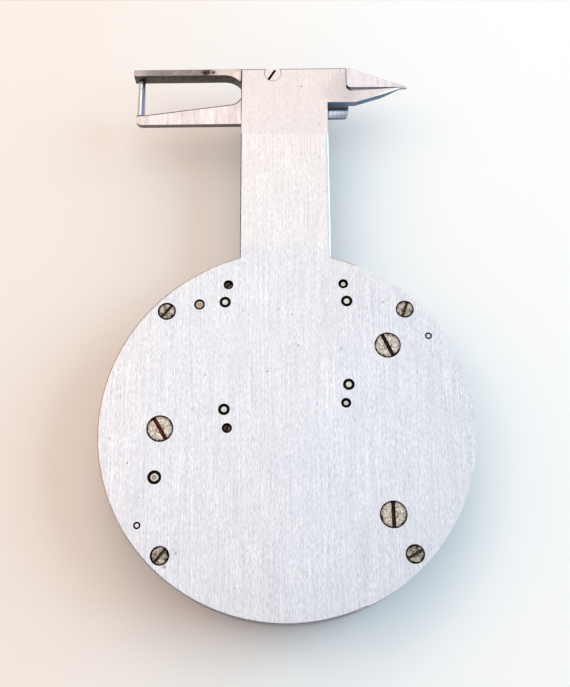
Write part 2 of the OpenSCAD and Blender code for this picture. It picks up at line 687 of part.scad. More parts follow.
module arbor_bushes() color("#b5543f") {
    for (at = [[0, 0], drive_at]) bush(at, z_movement, z_train);
    bush([0, 0], z_centre_bridge, z_centre_bridge + bridge_t);
    bush(drive_at, z_arm, z_plate - play);
}

// A turned arbor with a thinner pivot at each end
module arbor(at, low, shoulder_low, shoulder_high, high) {
    peg(at, low, high, 2 * pivot_r);
    peg(at, shoulder_low, shoulder_high, 2 * arbor_r);
}

module drive_arbor() color(steel)
    arbor(drive_at, z_movement + 0.1, z_train + 0.1, z_arm - 0.08, z_plate - 0.2);

module rack_pinion() color(steel) translate([drive_at.x, drive_at.y, 0])
    toothed_wheel(rack_pinion_teeth, rack_mod, 180, z_rack - 0.1, z_slide - 0.1, 2 * (arbor_r + fit));

module drive_gear() color(brass) translate([drive_at.x, drive_at.y, 0])
    toothed_wheel(gear_teeth, gear_mod, 135, z_gear, z_gear + gear_t, 2 * (arbor_r + fit));

z_pointer = 2.75;
pointer_t = 0.25;
module centre_arbor() color(steel)
    arbor([0, 0], z_pointer - 0.1, z_train + 0.1, z_centre_bridge - 0.08, z_centre_bridge + bridge_t - 0.1);

module centre_pinion() color(steel)
    toothed_wheel(centre_pinion_teeth, gear_mod, 180 / centre_pinion_teeth - 45,
        z_gear - 0.2, z_gear + gear_t + 0.2, 2 * (arbor_r + fit));

module hairspring_collet() color(brass) difference() {
    peg([0, 0], z_hairspring - 0.2, z_hairspring + hairspring_h + 0.1, 2 * hairspring_r - 0.12);
    peg([0, 0], z_hairspring - 1, z_hairspring + 2, 2 * (arbor_r + fit));
}

// A flat spiral strip from the collet to the stud
spiral_steps = 20 * hairspring_turns;
function spiral(i, side) = let (t = i / spiral_steps, a = stud_angle - 360 * hairspring_turns * (1 - t),
    r = hairspring_r + side * hairspring_strip + (hairspring_end_r - hairspring_r - hairspring_strip) * t)
        r * [cos(a), sin(a)];
module hairspring() color("#3d5a8c") slab(z_hairspring, z_hairspring + hairspring_h) polygon(concat(
    [for (i = [0 : spiral_steps]) spiral(i, 0)], [for (i = [spiral_steps : -1 : 0]) spiral(i, 1)]));

stud_at = (hairspring_end_r + stud_r + 0.02) * [cos(stud_angle), sin(stud_angle)];
module hairspring_stud() color(brass)
    peg(stud_at, z_movement + 0.4, z_hairspring + hairspring_h + 0.1, 2 * stud_r);

// ---------- dial and pointer ----------

dial_screws_at = [[-20.5, 0, 20], [20.5, 0, 100]];

module dial() color("#f3f2ec") difference() {
    peg([0, 0], z_dial, z_movement, bore_d - 0.4);
    peg([0, 0], z_dial - 1, z_movement + 1, 2.6);
    for (at = dial_screws_at) peg(at, z_dial - 1, z_movement + 1, 0.9 + 2 * fit);
}

module dial_screws() color(steel) for (at = dial_screws_at)
    screw_from_below(at, 1.7, 0.3, z_dial - 0.3, 0.9, z_train - 0.5, 0.25);

module pointer_hub() color(steel) difference() {
    ring_turned([[0, z_pointer - 0.25], [0.7, z_pointer - 0.25], [1, z_pointer - 0.05],
        [1, z_pointer + pointer_t + 0.7], [0, z_pointer + pointer_t + 0.7]]);
    peg([0, 0], z_pointer - 1, z_pointer + 2, 2 * (pivot_r + 0.005));
    pointer_blank(0.005);
}

// The pointer is clamped in the hub, and points up the neck at zero
module pointer_blank(grow) difference() {
    union() {
        slab(z_pointer - grow, z_pointer + pointer_t + grow)
            polygon([[-0.55, 0], [-0.12, pointer_len], [0.12, pointer_len], [0.55, 0],
                [0.8, -7], [-0.8, -7]]);
        peg([0, 0], z_pointer - grow, z_pointer + pointer_t + grow, 3.2);
    }
    peg([0, 0], z_pointer - 1, z_pointer + 1, 1.2);
}

module pointer() color("#1c1c1e") pointer_blank(0);

back_plate();
corner_screws();
movement_screws();
gib_screw();
steady_pins();
rail_screws();
rail_dowels();
rail_pin();
case_body();
bezel();
crystal();
crystal_gasket();
fixed_arm();
arm_screws();
measuring_post();
post_tip();
jaw_slide();
thumb_tab();
tab_screws();
rack();
rack_screws();
anchor_pin();
left_rail();
right_rail();
spring_post();
return_spring();
movement_plate();
pillars();
centre_bridge();
drive_bridge();
arbor_bushes();
drive_arbor();
rack_pinion();
drive_gear();
centre_arbor();
centre_pinion();
hairspring();
hairspring_collet();
hairspring_stud();
pointer_hub();
pointer();
dial();
dial_screws();
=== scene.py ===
import math

import bmesh
import bpy
from mathutils import Matrix, Vector
from mathutils.geometry import delaunay_2d_cdt


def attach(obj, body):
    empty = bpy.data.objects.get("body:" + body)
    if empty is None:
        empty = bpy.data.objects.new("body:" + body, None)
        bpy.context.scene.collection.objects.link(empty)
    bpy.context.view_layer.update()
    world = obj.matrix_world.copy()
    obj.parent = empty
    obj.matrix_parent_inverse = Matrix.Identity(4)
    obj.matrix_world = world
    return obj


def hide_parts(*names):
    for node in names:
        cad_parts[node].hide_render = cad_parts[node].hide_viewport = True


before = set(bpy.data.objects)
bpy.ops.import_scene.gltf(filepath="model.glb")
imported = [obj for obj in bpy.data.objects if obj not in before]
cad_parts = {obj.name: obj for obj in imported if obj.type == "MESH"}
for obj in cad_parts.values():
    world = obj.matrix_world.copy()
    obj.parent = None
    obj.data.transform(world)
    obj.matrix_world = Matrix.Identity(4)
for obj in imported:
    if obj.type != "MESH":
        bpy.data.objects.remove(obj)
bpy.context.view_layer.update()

MM = 0.001
TAU = 2 * math.pi
SMOOTH_ANGLE = math.radians(32)

# Levels of the gauge, in millimetres above the plane that it lies on
Z_TOP = 13.0  # outer face of the back plate
Z_PLATE = 11.5  # its underside
Z_ARM = 10.3  # underside of the flat arms, just above the thumb tab
Z_SPRING = 7.1  # axis of the return spring
Z_DIAL = 4.0  # face of the dial

# The back plate's outline: the case, the neck, and the lug with its pointed jaw
CASE_R = 33.0
NECK_HALF = 8.35
NECK_TOP = 71.65
NECK_FILLET = 0.3
NECK_STEPS = (57.1, 57.7)  # the neck's rounded edge narrows between these heights
LUG_X = 12.05
LUG_FILLET = 0.95
LUG_BOTTOM = 64.1
JAW_ROOT = (13.0, 66.65)
JAW_UNDER = (13.6, LUG_BOTTOM)
JAW_BEND = (19.9, 66.1)
JAW_WAIST = (22.5, 67.08)
TIP = (23.75, 67.255)
POST_X = -27.95  # the measuring post, at the end of the flat arms

# Where screws and pins stand: x and y, and for a slotted screw how far its slot is turned, in degrees
CORNER_SCREWS = [(-21.48, 21.75, 50), (21.48, 21.75, 70), (-21.48, -21.75, 52), (21.48, -21.75, 30)]
MOVEMENT_SCREWS = [(18.15, 15, 115), (-22.1, 0.1, 120), (18.1, -15.1, 91)]
RAIL_SCREWS = [(-10.4, 26.75, 40), (-10.4, 0.1, 75), (10.5, 26.75, 110), (10.5, 4.45, 20)]
RAIL_DOWELS = [(-10.95, 23.4), (-10.95, 3.45), (11.05, 23.4), (11.05, 7.8)]
STEADY_PINS = [(25.5, 16.65), (-25.5, -16.65)]
RAIL_PIN = (-15.6, 23)
SPRING_POST = (-22.8, -8.45)
GIB_SCREW = (-2.2, 70.6, 58)


# ---------- small tools ----------

def srgb(code):
    """A hex sRGB colour as linear RGBA."""
    parts = [int(code[i:i + 2], 16) / 255 for i in (1, 3, 5)]
    return [c / 12.92 if c <= 0.04045 else ((c + 0.055) / 1.055) ** 2.4 for c in parts] + [1.0]


def add(tree, kind, inputs=None, out=None, **settings):
    """Adds a node with its settings, and fills or links its inputs. Gives back the node, or its named output."""
    made = tree.nodes.new(kind)
    for name, value in settings.items():
        setattr(made, name, value)
    for name, value in (inputs or {}).items():
        socket = made.inputs[name]
        if isinstance(value, bpy.types.NodeSocket):
            tree.links.new(value, socket)
        else:
            socket.default_value = value
    return made.outputs[out] if out else made


def circle(x, y, r, steps):
    """Points round a full circle, counter-clockwise from +X."""
    return [(x + r * math.cos(TAU * i / steps), y + r * math.sin(TAU * i / steps)) for i in range(steps)]


def arc(cx, cy, r, start, end, steps):
    """Points from one angle to another, in degrees."""
    turns = [math.radians(start + (end - start) * i / steps) for i in range(steps + 1)]
    return [(cx + r * math.cos(a), cy + r * math.sin(a)) for a in turns]


def mark_sharp(bm):
    """Smooth shading everywhere but over sharper edges and round each level face, so that it stays flat."""
    for face in bm.faces:
        face.smooth = abs(face.normal.z) < 0.9999
    for edge in bm.edges:
        turn = edge.calc_face_angle(math.pi) if len(edge.link_faces) == 2 else math.pi
        level = [abs(face.normal.z) > 0.9999 for face in edge.link_faces]
        edge.smooth = turn < SMOOTH_ANGLE and (turn < 0.01 or len(set(level)) == 1)


def piece(name, bm, materials, body="root", replaces=()):
    """A finished mesh object that rides on a body, from a bmesh in millimetres."""
    bmesh.ops.dissolve_degenerate(bm, dist=0.0005, edges=bm.edges)
    bm.normal_update()
    mark_sharp(bm)
    bmesh.ops.scale(bm, vec=(MM, MM, MM), verts=bm.verts)
    mesh = bpy.data.meshes.new(name)
    bm.to_mesh(mesh)
    bm.free()
    for material in materials:
        mesh.materials.append(material)
    obj = bpy.data.objects.new(name, mesh)
    bpy.context.scene.collection.objects.link(obj)
    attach(obj, body)
    if replaces:
        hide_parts(*replaces)
    return obj


def cut_away(bm, cutters):
    """Cuts bmesh cutters from a bmesh, and frees them."""
    made = []
    for source in [bm] + cutters:
        mesh = bpy.data.meshes.new("cut")
        bmesh.ops.recalc_face_normals(source, faces=source.faces)
        source.to_mesh(mesh)
        source.free()
        obj = bpy.data.objects.new("cut", mesh)
        bpy.context.scene.collection.objects.link(obj)
        made.append(obj)
    for cutter in made[1:]:
        modifier = made[0].modifiers.new("cut", "BOOLEAN")
        modifier.operation = "DIFFERENCE"
        modifier.solver = "EXACT"
        modifier.object = cutter
    result = bmesh.new()
    result.from_mesh(made[0].evaluated_get(bpy.context.evaluated_depsgraph_get()).to_mesh())
    for obj in made:
        mesh = obj.data
        bpy.data.objects.remove(obj)
        bpy.data.meshes.remove(mesh)
    return result


def box_bm(low, high, transform=None):
    """A box between two corners, moved by the transform if there is one."""
    bm = bmesh.new()
    bmesh.ops.create_cube(bm, size=1.0)
    size = [b - a for a, b in zip(low, high)]
    middle = [(a + b) / 2 for a, b in zip(low, high)]
    matrix = Matrix.Translation(middle) @ Matrix.Diagonal((*size, 1))
    bmesh.ops.transform(bm, matrix=(transform or Matrix()) @ matrix, verts=bm.verts)
    return bm


def prism_bm(points, low, high, to_xyz):
    """A closed prism over a polygon. to_xyz turns (u, v, w) into x, y, z."""
    bm = bmesh.new()
    rows = [[bm.verts.new(to_xyz(u, v, w)) for u, v in points] for w in (low, high)]
    bm.faces.new(rows[0])
    bm.faces.new(rows[1])
    for i in range(len(points)):
        j = (i + 1) % len(points)
        bm.faces.new((rows[0][i], rows[0][j], rows[1][j], rows[1][i]))
    bmesh.ops.recalc_face_normals(bm, faces=bm.faces)
    return bm


def lathe_bm(x, y, profile, steps=96, material=None):
    """Turns (radius, z) points about an upright axis. A radius of 0 closes an end, and material picks the slot
    of each band."""
    bm = bmesh.new()
    rings = []
    for r, z in profile:
        if r == 0:
            rings.append([bm.verts.new((x, y, z))])
        else:
            rings.append([bm.verts.new((px, py, z)) for px, py in circle(x, y, r, steps)])
    closed = profile[0][0] > 0
    bands = list(zip(rings, rings[1:] + ([rings[0]] if closed else [])))
    for k, (a, b) in enumerate(bands if closed else bands[:len(rings) - 1]):
        for i in range(steps):
            j = (i + 1) % steps
            corners = [a[i % len(a)], a[j % len(a)], b[j % len(b)], b[i % len(b)]]
            face = bm.faces.new(list(dict.fromkeys(corners)))
            face.material_index = material[k] if material else 0
    bmesh.ops.recalc_face_normals(bm, faces=bm.faces)
    return bm


def join_bm(parts):
    """One bmesh from several, which it frees."""
    whole = bmesh.new()
    for part in parts:
        mesh = bpy.data.meshes.new("join")
        part.to_mesh(mesh)
        part.free()
        whole.from_mesh(mesh)
        bpy.data.meshes.remove(mesh)
    return whole


def inset(points, distance_at):
    """The outline moved inwards, by a distance that may change from point to point."""
    moved = []
    for i, (x, y) in enumerate(points):
        before, after = Vector(points[i - 1]), Vector(points[(i + 1) % len(points)])
        here = Vector((x, y))
        a, b = (here - before).normalized(), (after - here).normalized()
        na, nb = Vector((-a.y, a.x)), Vector((-b.y, b.x))
        step = (na + nb) / max(0.35, 1 + na.dot(nb)) * distance_at(x, y)
        moved.append((x + step.x, y + step.y))
    return moved


# ---------- finishes ----------

def shader_of(material):
    """The material's Principled shader."""
    return next(n for n in material.node_tree.nodes if n.type == "BSDF_PRINCIPLED")


def blank_material(name, roughness, metallic=1.0):
    """A material with its metallic and roughness set, ready for its nodes."""
    material = bpy.data.materials.new(name)
    material.use_nodes = True
    shader = shader_of(material)
    shader.inputs["Metallic"].default_value = metallic
    shader.inputs["Roughness"].default_value = roughness
    return material


def worked_metal(name, dark, light, rough, grain, bump, fleck=None, pits=(), patch=None, grime_and_shade=None, rim=None,
                 passes_and_painted_bands=(), stains=()):
    """A metal whose tone, roughness and relief follow the marks of the tool that cut it. All sizes are in
    millimetres, and shade stands for a colour.
    grain: the size of one long mark in x, y and z. bump: its depth. fleck: (size in x, y and z, share) of shorter
    marks. pits: (cell in x, y and z, radius, shade, share of cells that hold one) of each sort. patch: (size,
    strength, shade) of cloudy handling marks. grime_and_shade: (shade, reach, strength) of the darkening in corners
    that ambient occlusion finds: painted shade, and in some finishes dirt too. rim: (shade, start, strength) of the
    dirt round a turned head, whose UV map has the rim at a length of 1, over faint turned rings.
    passes_and_painted_bands: (y where it starts, y where it is full, shade, strength) of bands of another colour:
    areas that were ground once more, and on the thumb tab a painted blue reflection.
    stains: (x, y, reach, shade, strength) of single spots."""
    material = blank_material(name, sum(rough) / 2)
    tree = material.node_tree
    shader = shader_of(material)
    place = add(tree, "ShaderNodeTexCoord", out="Object")
    long_marks = add(tree, "ShaderNodeVectorMath", {0: place, 1: [1 / (g * MM) for g in grain]}, out="Vector",
                     operation="MULTIPLY")
    marks = add(tree, "ShaderNodeTexNoise", {"Vector": long_marks, "Scale": 1.0, "Detail": 4.0, "Roughness": 0.65},
                out="Fac")
    if fleck:
        size, share = fleck
        short_marks = add(tree, "ShaderNodeVectorMath", {0: place, 1: [1 / (g * MM) for g in size]}, out="Vector",
                          operation="MULTIPLY")
        flecks = add(tree, "ShaderNodeTexNoise", {"Vector": short_marks, "Scale": 1.0, "Detail": 2.0}, out="Fac")
        marks = add(tree, "ShaderNodeMix", {"Factor": share, "A": marks, "B": flecks}, out="Result",
                    data_type="FLOAT")
    tone = add(tree, "ShaderNodeMapRange", {"Value": marks, "From Min": 0.3, "From Max": 0.7}, out="Result")
    colour = add(tree, "ShaderNodeMix", {"Factor": tone, "A": srgb(dark), "B": srgb(light)}, out="Result",
                 data_type="RGBA")
    veils = []
    if patch:
        size, strength, shade = patch
        clouds = add(tree, "ShaderNodeTexNoise", {"Vector": place, "Scale": 1 / (size * MM), "Detail": 5.0,
                                                  "Roughness": 0.55}, out="Fac")
        veils.append((shade, add(tree, "ShaderNodeMapRange", {"Value": clouds, "From Min": 0.42, "From Max": 0.72,
                                                              "To Max": strength}, out="Result")))
    for start, full, shade, strength in passes_and_painted_bands:
        rise = add(tree, "ShaderNodeSeparateXYZ", {"Vector": place}, out="Y")
        veils.append((shade, add(tree, "ShaderNodeMapRange", {
            "Value": rise, "From Min": start * MM, "From Max": full * MM, "To Max": strength}, out="Result")))
    for x, y, reach, shade, strength in stains:
        away = add(tree, "ShaderNodeVectorMath", {0: place, 1: (x * MM, y * MM, Z_TOP * MM)}, out="Value",
                   operation="DISTANCE")
        edge = add(tree, "ShaderNodeTexNoise", {"Vector": place, "Scale": 1 / (0.4 * reach * MM), "Detail": 3.0},
                   out="Fac")
        ragged = add(tree, "ShaderNodeMath", {0: edge, 1: reach * MM, 2: away}, out="Value",
                     operation="MULTIPLY_ADD")
        veils.append((shade, add(tree, "ShaderNodeMapRange", {
            "Value": ragged, "From Min": reach * 0.7 * MM, "From Max": reach * 1.3 * MM, "To Min": strength,
            "To Max": 0.0}, out="Result")))
    for cell, radius, shade, share in pits:
        spread = add(tree, "ShaderNodeVectorMath", {0: place, 1: [1 / (g * MM) for g in cell]}, out="Vector",
                     operation="MULTIPLY")
        cells = add(tree, "ShaderNodeTexVoronoi", {"Vector": spread, "Scale": 1.0})
        chance = add(tree, "ShaderNodeSeparateColor", {"Color": cells.outputs["Color"]}, out="Red")
        reach = add(tree, "ShaderNodeMapRange", {"Value": chance, "From Min": 1 - share, "From Max": 1.0,
                                                 "To Max": radius / cell[0]}, out="Result")
        depth = add(tree, "ShaderNodeMath", {0: reach, 1: cells.outputs["Distance"]}, out="Value",
                    operation="SUBTRACT")
        veils.append((shade, add(tree, "ShaderNodeMapRange", {"Value": depth, "From Min": 0.0, "From Max": 0.06},
                                 out="Result")))
    if rim:
        shade, start, strength = rim
        seat = add(tree, "ShaderNodeUVMap", out="UV", uv_map="head")
        out = add(tree, "ShaderNodeVectorMath", {0: seat}, out="Value", operation="LENGTH")
        rings = add(tree, "ShaderNodeTexNoise", {"W": out, "Scale": 5.0, "Detail": 2.0}, out="Fac",
                    noise_dimensions="1D")
        veils.append((shade, add(tree, "ShaderNodeMapRange", {"Value": rings, "From Min": 0.48, "From Max": 0.62,
                                                              "To Max": 0.5}, out="Result")))
        edge = add(tree, "ShaderNodeTexNoise", {"Vector": place, "Scale": 1 / (0.7 * MM), "Detail": 3.0}, out="Fac")
        ragged = add(tree, "ShaderNodeMath", {0: edge, 1: 0.5, 2: out}, out="Value", operation="MULTIPLY_ADD")
        veils.append((shade, add(tree, "ShaderNodeMapRange", {
            "Value": ragged, "From Min": start + 0.25, "From Max": start + 0.37, "To Max": strength},
            out="Result")))
    if grime_and_shade:
        shade, reach, strength = grime_and_shade
        corner = add(tree, "ShaderNodeAmbientOcclusion", {"Distance": reach * MM}, out="AO", samples=8)
        veils.append((shade, add(tree, "ShaderNodeMapRange", {
            "Value": corner, "From Min": 0.25, "From Max": 0.85, "To Min": strength, "To Max": 0.0},
            out="Result")))
    for shade, veil in veils:
        colour = add(tree, "ShaderNodeMix", {"Factor": veil, "A": colour, "B": srgb(shade)}, out="Result",
                     data_type="RGBA")
    polish = add(tree, "ShaderNodeMapRange", {"Value": marks, "From Min": 0.3, "From Max": 0.7, "To Min": rough[1],
                                              "To Max": rough[0]}, out="Result")
    relief = add(tree, "ShaderNodeBump", {"Height": marks, "Distance": bump * MM, "Strength": 1.0}, out="Normal")
    tree.links.new(colour, shader.inputs["Base Color"])
    tree.links.new(polish, shader.inputs["Roughness"])
    tree.links.new(relief, shader.inputs["Normal"])
    return material


def paint(name, dark, light, rough, speck, bump, coat=0.0):
    """Enamel, lacquer or rubber: a smooth skin with a faint mottle."""
    material = blank_material(name, rough, metallic=0.0)
    tree = material.node_tree
    shader = shader_of(material)
    place = add(tree, "ShaderNodeTexCoord", out="Object")
    mottle = add(tree, "ShaderNodeTexNoise", {"Vector": place, "Scale": 1 / (speck * MM), "Detail": 3.0}, out="Fac")
    colour = add(tree, "ShaderNodeMix", {"Factor": mottle, "A": srgb(dark), "B": srgb(light)}, out="Result",
                 data_type="RGBA")
    relief = add(tree, "ShaderNodeBump", {"Height": mottle, "Distance": bump * MM}, out="Normal")
    tree.links.new(colour, shader.inputs["Base Color"])
    tree.links.new(relief, shader.inputs["Normal"])
    shader.inputs["Coat Weight"].default_value = coat
    shader.inputs["Coat Roughness"].default_value = 0.08
    return material


# Plate ground with a coarse belt along the neck: fine upright scratches, drawn a little wider than they are so
# that they show, small pits, cloudy handling marks, a warmer tone on the neck with one more pass over its top, and
# a cooler tone on the round part
plate_face = worked_metal("belt_ground_steel_face", "#abadb9", "#f8f9fe", (0.36, 0.48), (0.13, 16, 16), 0.003,
                          fleck=((0.15, 0.8, 0.8), 0.5), pits=[((1.1, 1.9, 100), 0.15, "#66666f", 0.25),
                                                               ((0.55, 3.2, 100), 0.07, "#b0b0ba", 0.3)],
                          patch=(6, 0.42, "#cbccd6"),
                          passes_and_painted_bands=[(57.3, 57.5, "#c6bec4", 0.38), (34.6, 34.1, "#c9ccdb", 0.22),
                                  (34.2, 35.0, "#dedadd", 0.3)],
                          stains=[(-20.6, -23.6, 0.5, "#75808c", 0.75), (-22.3, -20.6, 3.2, "#c9cedb", 0.6),
                                  (12.2, 67, 7.2, "#aea9b4", 0.52)])
# The plate's edge, with fine turning lines from the lathe, painted much darker than its face: painted shade, for
# the shadowed floor and dim room that its walls and rounding reflect
plate_side_painted_shade = worked_metal("turned_steel_side_painted_shade", "#45474d", "#64666c", (0.3, 0.42), (3, 3, 0.12), 0.003)
# Painted shade: dark lines along the rounded and broken edges that face +Y, on the plate and both arms, and down
# the left edge of the neck, where shade falls past the edge
painted_shade_edge = worked_metal("broken_edge_painted_shade", "#4c4541", "#766d68", (0.4, 0.5), (1.2, 1.2, 1.2), 0.002)
# Bevels and broken edges that fingers have polished, pale and bluish. This is also a painted highlight: in part on
# the jaws' bevels, and on the plate's rounding, where only the edges that face +X take it, as the cool lamp's
# painted highlight
polish_and_painted_highlight = worked_metal("burnished_edge_painted_highlight", "#e8eef6", "#fbfdff", (0.18, 0.26), (0.5, 0.5, 0.5), 0.001)
# Bores and slots are never cleaned: near black, with no shine
bore_dirt = worked_metal("drilled_steel_with_old_oil", "#14110f", "#2e2823", (0.5, 0.7), (0.3, 0.3, 0.2), 0.01)
# Case and bezel in plated brass, turned on a lathe: faint rings, a soft shine, a darker grey than bright plate, and
# darker in the corners as painted shade
case_finish = worked_metal("turned_nickel_plate", "#6f717b", "#8e9099", (0.2, 0.3), (4, 4, 0.1), 0.002,
                           patch=(6, 0.25, "#6b6a68"), grime_and_shade=("#45433f", 0.5, 0.6))
# Jaws surface-ground across: short upright scratches, oily tarnish in patches
jaw_finish = worked_metal("surface_ground_tool_steel", "#c0c1cc", "#e8e8f2", (0.34, 0.44), (0.22, 5, 5), 0.003,
                          fleck=((0.2, 0.8, 0.8), 0.4), pits=[((1.1, 2, 100), 0.14, "#6f6a6c", 0.16)],
                          patch=(3.5, 0.3, "#a9a8b4"))
# The slide's hidden plate was lapped flat and is kept clean by the plate that it rubs on
lapped_slide_finish = worked_metal("lapped_tool_steel_slide", "#a9abb1", "#cfd0d6", (0.26, 0.36), (0.15, 9, 9),
                                   0.002, patch=(5, 0.3, "#a3a3a6"))
# The lower arm is brighter, streaked across by the stone
lower_arm_finish = worked_metal("freshly_ground_tool_steel", "#bdb6bb", "#ebe5e8", (0.34, 0.44), (0.7, 8, 8), 0.003,
                                fleck=((0.2, 2.5, 2.5), 0.4), patch=(3.0, 0.5, "#c0b5ba"),
                                pits=[((1.3, 2, 100), 0.14, "#8f8a92", 0.12)])
# The moving arm's top has been handled most: browner, bright at its root and its end, with three rust spots
arm_finish = worked_metal("handled_tool_steel", "#6f686a", "#a39ca0", (0.34, 0.46), (0.22, 5, 5), 0.003,
                          fleck=((0.25, 0.5, 0.5), 0.5), patch=(1.6, 0.65, "#655e5e"),
                          stains=[(-11.9, 71.0, 4, "#d6cbca", 0.75), (-9.2, 70.4, 2.6, "#ddd2d2", 0.85),
                                  (-28.8, 71.0, 3.4, "#cdc4c6", 0.5), (-15.4, 70.9, 1.15, "#1d1512", 0.95),
                                  (-14.7, 71.0, 0.8, "#3a2420", 0.9), (-13.8, 71.0, 0.7, "#241a17", 0.9)])
# Walls that the grinder never reached: dark, oily scale, near black in their corners, where there is dirt and also
# painted shade
wall_finish = worked_metal("oiled_scale_on_steel_wall", "#33332f", "#66645d", (0.4, 0.55), (0.9, 0.9, 0.3), 0.004,
                           patch=(0.8, 0.5, "#7d7a72"), grime_and_shade=("#0d0b0a", 0.7, 0.9))
# Milled walls with fine level marks: grey on the arms, darker in their corners as painted shade, and under the lug
# painted steel blue, a painted reflection of the cool light, deep blue in the corners as painted shade
lug_wall_painted_blue = worked_metal("milled_steel_wall_painted_blue", "#566b80", "#7690a8", (0.34, 0.46), (2, 2, 0.2), 0.003,
                               grime_and_shade=("#173350", 0.8, 0.8))
arm_wall_finish = worked_metal("milled_steel_arm_wall", "#63625f", "#83817e", (0.34, 0.46), (2, 2, 0.2), 0.003,
                               grime_and_shade=("#26221f", 0.6, 0.6))
# The thumb tab is smooth. Its pale blue colour, deep blue along its upper end next to the lug and in its corners,
# is a painted reflection of the cool light and painted shade
tab_painted_blue_reflection = worked_metal("thumb_polished_steel_painted_blue", "#aab8cc", "#dfe8f4", (0.24, 0.34), (0.5, 3, 3), 0.002,
                          passes_and_painted_bands=[(63.7, 64.1, "#3f78b5", 0.85)], grime_and_shade=("#3570aa", 0.4, 0.6))
# Screw heads turned in steel, worn and browned by hands and oil, with clean and dirty patches
screw_finish = worked_metal("worn_turned_screw_steel", "#76685f", "#fff5ee", (0.3, 0.5), (0.36, 0.36, 0.36), 0.01,
                            patch=(0.5, 0.75, "#7d6e64"), pits=[((0.6, 0.6, 0.6), 0.1, "#41362f", 0.45)],
                            rim=("#1d1410", 0.9, 1.0))
corner_screw_finish = worked_metal("dirty_turned_screw_steel", "#857b6e", "#d9d0c2", (0.3, 0.5),
                                   (0.3, 0.3, 0.3), 0.01, patch=(0.9, 1.4, "#3b2f25"),
                                   pits=[((0.6, 0.6, 0.6), 0.1, "#2d241d", 0.4)], rim=("#17110d", 0.84, 1.0))
# Saw cuts that old oil has filled: dark brown and dull, and black in their corners as painted shade
slot_finish = worked_metal("sawn_slot_with_old_oil", "#1f1611", "#4f4035", (0.5, 0.7), (0.3, 0.3, 0.3), 0.01,
                           grime_and_shade=("#070403", 0.35, 1.0))
# Two slots have rusted: dark red with scabs, and black in their corners as painted shade
rusty_slot = worked_metal("sawn_slot_with_rust", "#48150f", "#7c4238", (0.5, 0.7), (0.4, 0.4, 0.4), 0.01,
                          patch=(0.9, 0.9, "#2a1c17"), grime_and_shade=("#070403", 0.35, 1.0))
# The corner screws' slots have been wiped: browner than black, and black in their corners as painted shade
corner_slot = worked_metal("sawn_slot_partly_cleaned", "#3a3027", "#66574a", (0.5, 0.7), (0.3, 0.3, 0.3), 0.01,
                           grime_and_shade=("#070403", 0.34, 1.0))
# Sunken rail screws, brown with baked oil
oiled_screw = worked_metal("oil_browned_screw_steel", "#15100d", "#6e6156", (0.35, 0.5), (0.35, 0.35, 0.35), 0.006)
# Pins filed level with the plate: a dull shine with darker patches, browner where hands rest
pin_finish = worked_metal("filed_pin_steel", "#b3b1aa", "#d9d8d2", (0.28, 0.42), (0.3, 0.3, 0.3), 0.003,
                          patch=(0.5, 0.35, "#8d8c86"))
worn_pin_finish = worked_metal("browned_pin_steel", "#8b7d73", "#b3a59b", (0.35, 0.5), (0.3, 0.3, 0.3), 0.003)
# Small turned faces that rubbing keeps clean: a pale soft shine
land_finish = worked_metal("turned_screw_land", "#a89f9f", "#cdc5c5", (0.3, 0.4), (0.3, 0.3, 0.3), 0.003)
steady_finish = worked_metal("bright_pin_steel", "#b4b0ba", "#d8d4de", (0.3, 0.4), (0.3, 0.3, 0.3), 0.002)
# The post is polished; its blue-grey colour is a painted reflection of the cool light on its right
post_painted_blue_reflection = worked_metal("polished_post_steel_painted_blue", "#98a2c0", "#b3bdd8", (0.16, 0.22), (0.3, 3, 0.3), 0.001)
# Its outer side, painted paler and softer: a painted highlight of the light from the left
post_painted_highlight = worked_metal("post_steel_painted_highlight", "#e3ddda", "#fbf8f5", (0.24, 0.3), (0.3, 3, 0.3), 0.001)
# Inside: drawn wire, a blued hairspring, milled brass with a fine grain, and red-brown bushes
spring_finish = worked_metal("drawn_spring_wire", "#55565a", "#86878c", (0.25, 0.4), (0.1, 0.1, 0.1), 0.002)
blued_finish = worked_metal("heat_blued_steel", "#1f3566", "#35528f", (0.2, 0.3), (0.5, 0.5, 0.5), 0.001)
brass_finish = worked_metal("milled_brass", "#b08d45", "#d3b36a", (0.22, 0.36), (0.15, 3, 3), 0.002,
                            patch=(5, 0.3, "#98773a"))
bronze_finish = worked_metal("reamed_bronze_bush", "#9c5a35", "#bd7a4d", (0.25, 0.4), (0.2, 0.2, 0.2), 0.002)
# Dial: a warm white skin with a thin gloss over it, matt inks, a glossy black pointer and dull black rubber
enamel = paint("baked_dial_enamel", "#ece9e0", "#f3f1e9", 0.32, 4, 0.002, coat=0.4)
ink = paint("printed_dial_ink", "#151515", "#222222", 0.5, 1, 0.001)
red_ink = paint("printed_red_dial_ink", "#9c2018", "#b02a20", 0.5, 1, 0.001)
lacquer = paint("black_pointer_lacquer", "#141416", "#1f1f22", 0.28, 1, 0.001, coat=0.5)
rubber = paint("moulded_gasket_rubber", "#1d1d1d", "#2b2b2b", 0.75, 0.6, 0.01)

# Glass: clear, with finger smears that blur it a little
glass = blank_material("polished_watch_glass", 0.03, metallic=0.0)
glass_tree, glass_shader = glass.node_tree, shader_of(glass)
glass_shader.inputs["Base Color"].default_value = srgb("#f7fbfa")
glass_shader.inputs["Transmission Weight"].default_value = 1.0
glass_shader.inputs["IOR"].default_value = 1.5
glass_place = add(glass_tree, "ShaderNodeTexCoord", out="Object")
smears = add(glass_tree, "ShaderNodeTexNoise", {"Vector": glass_place, "Scale": 1 / (12 * MM), "Detail": 4.0},
             out="Fac")
smear_polish = add(glass_tree, "ShaderNodeMapRange", {"Value": smears, "To Min": 0.01, "To Max": 0.06},
                   out="Result")
glass_tree.links.new(smear_polish, glass_shader.inputs["Roughness"])

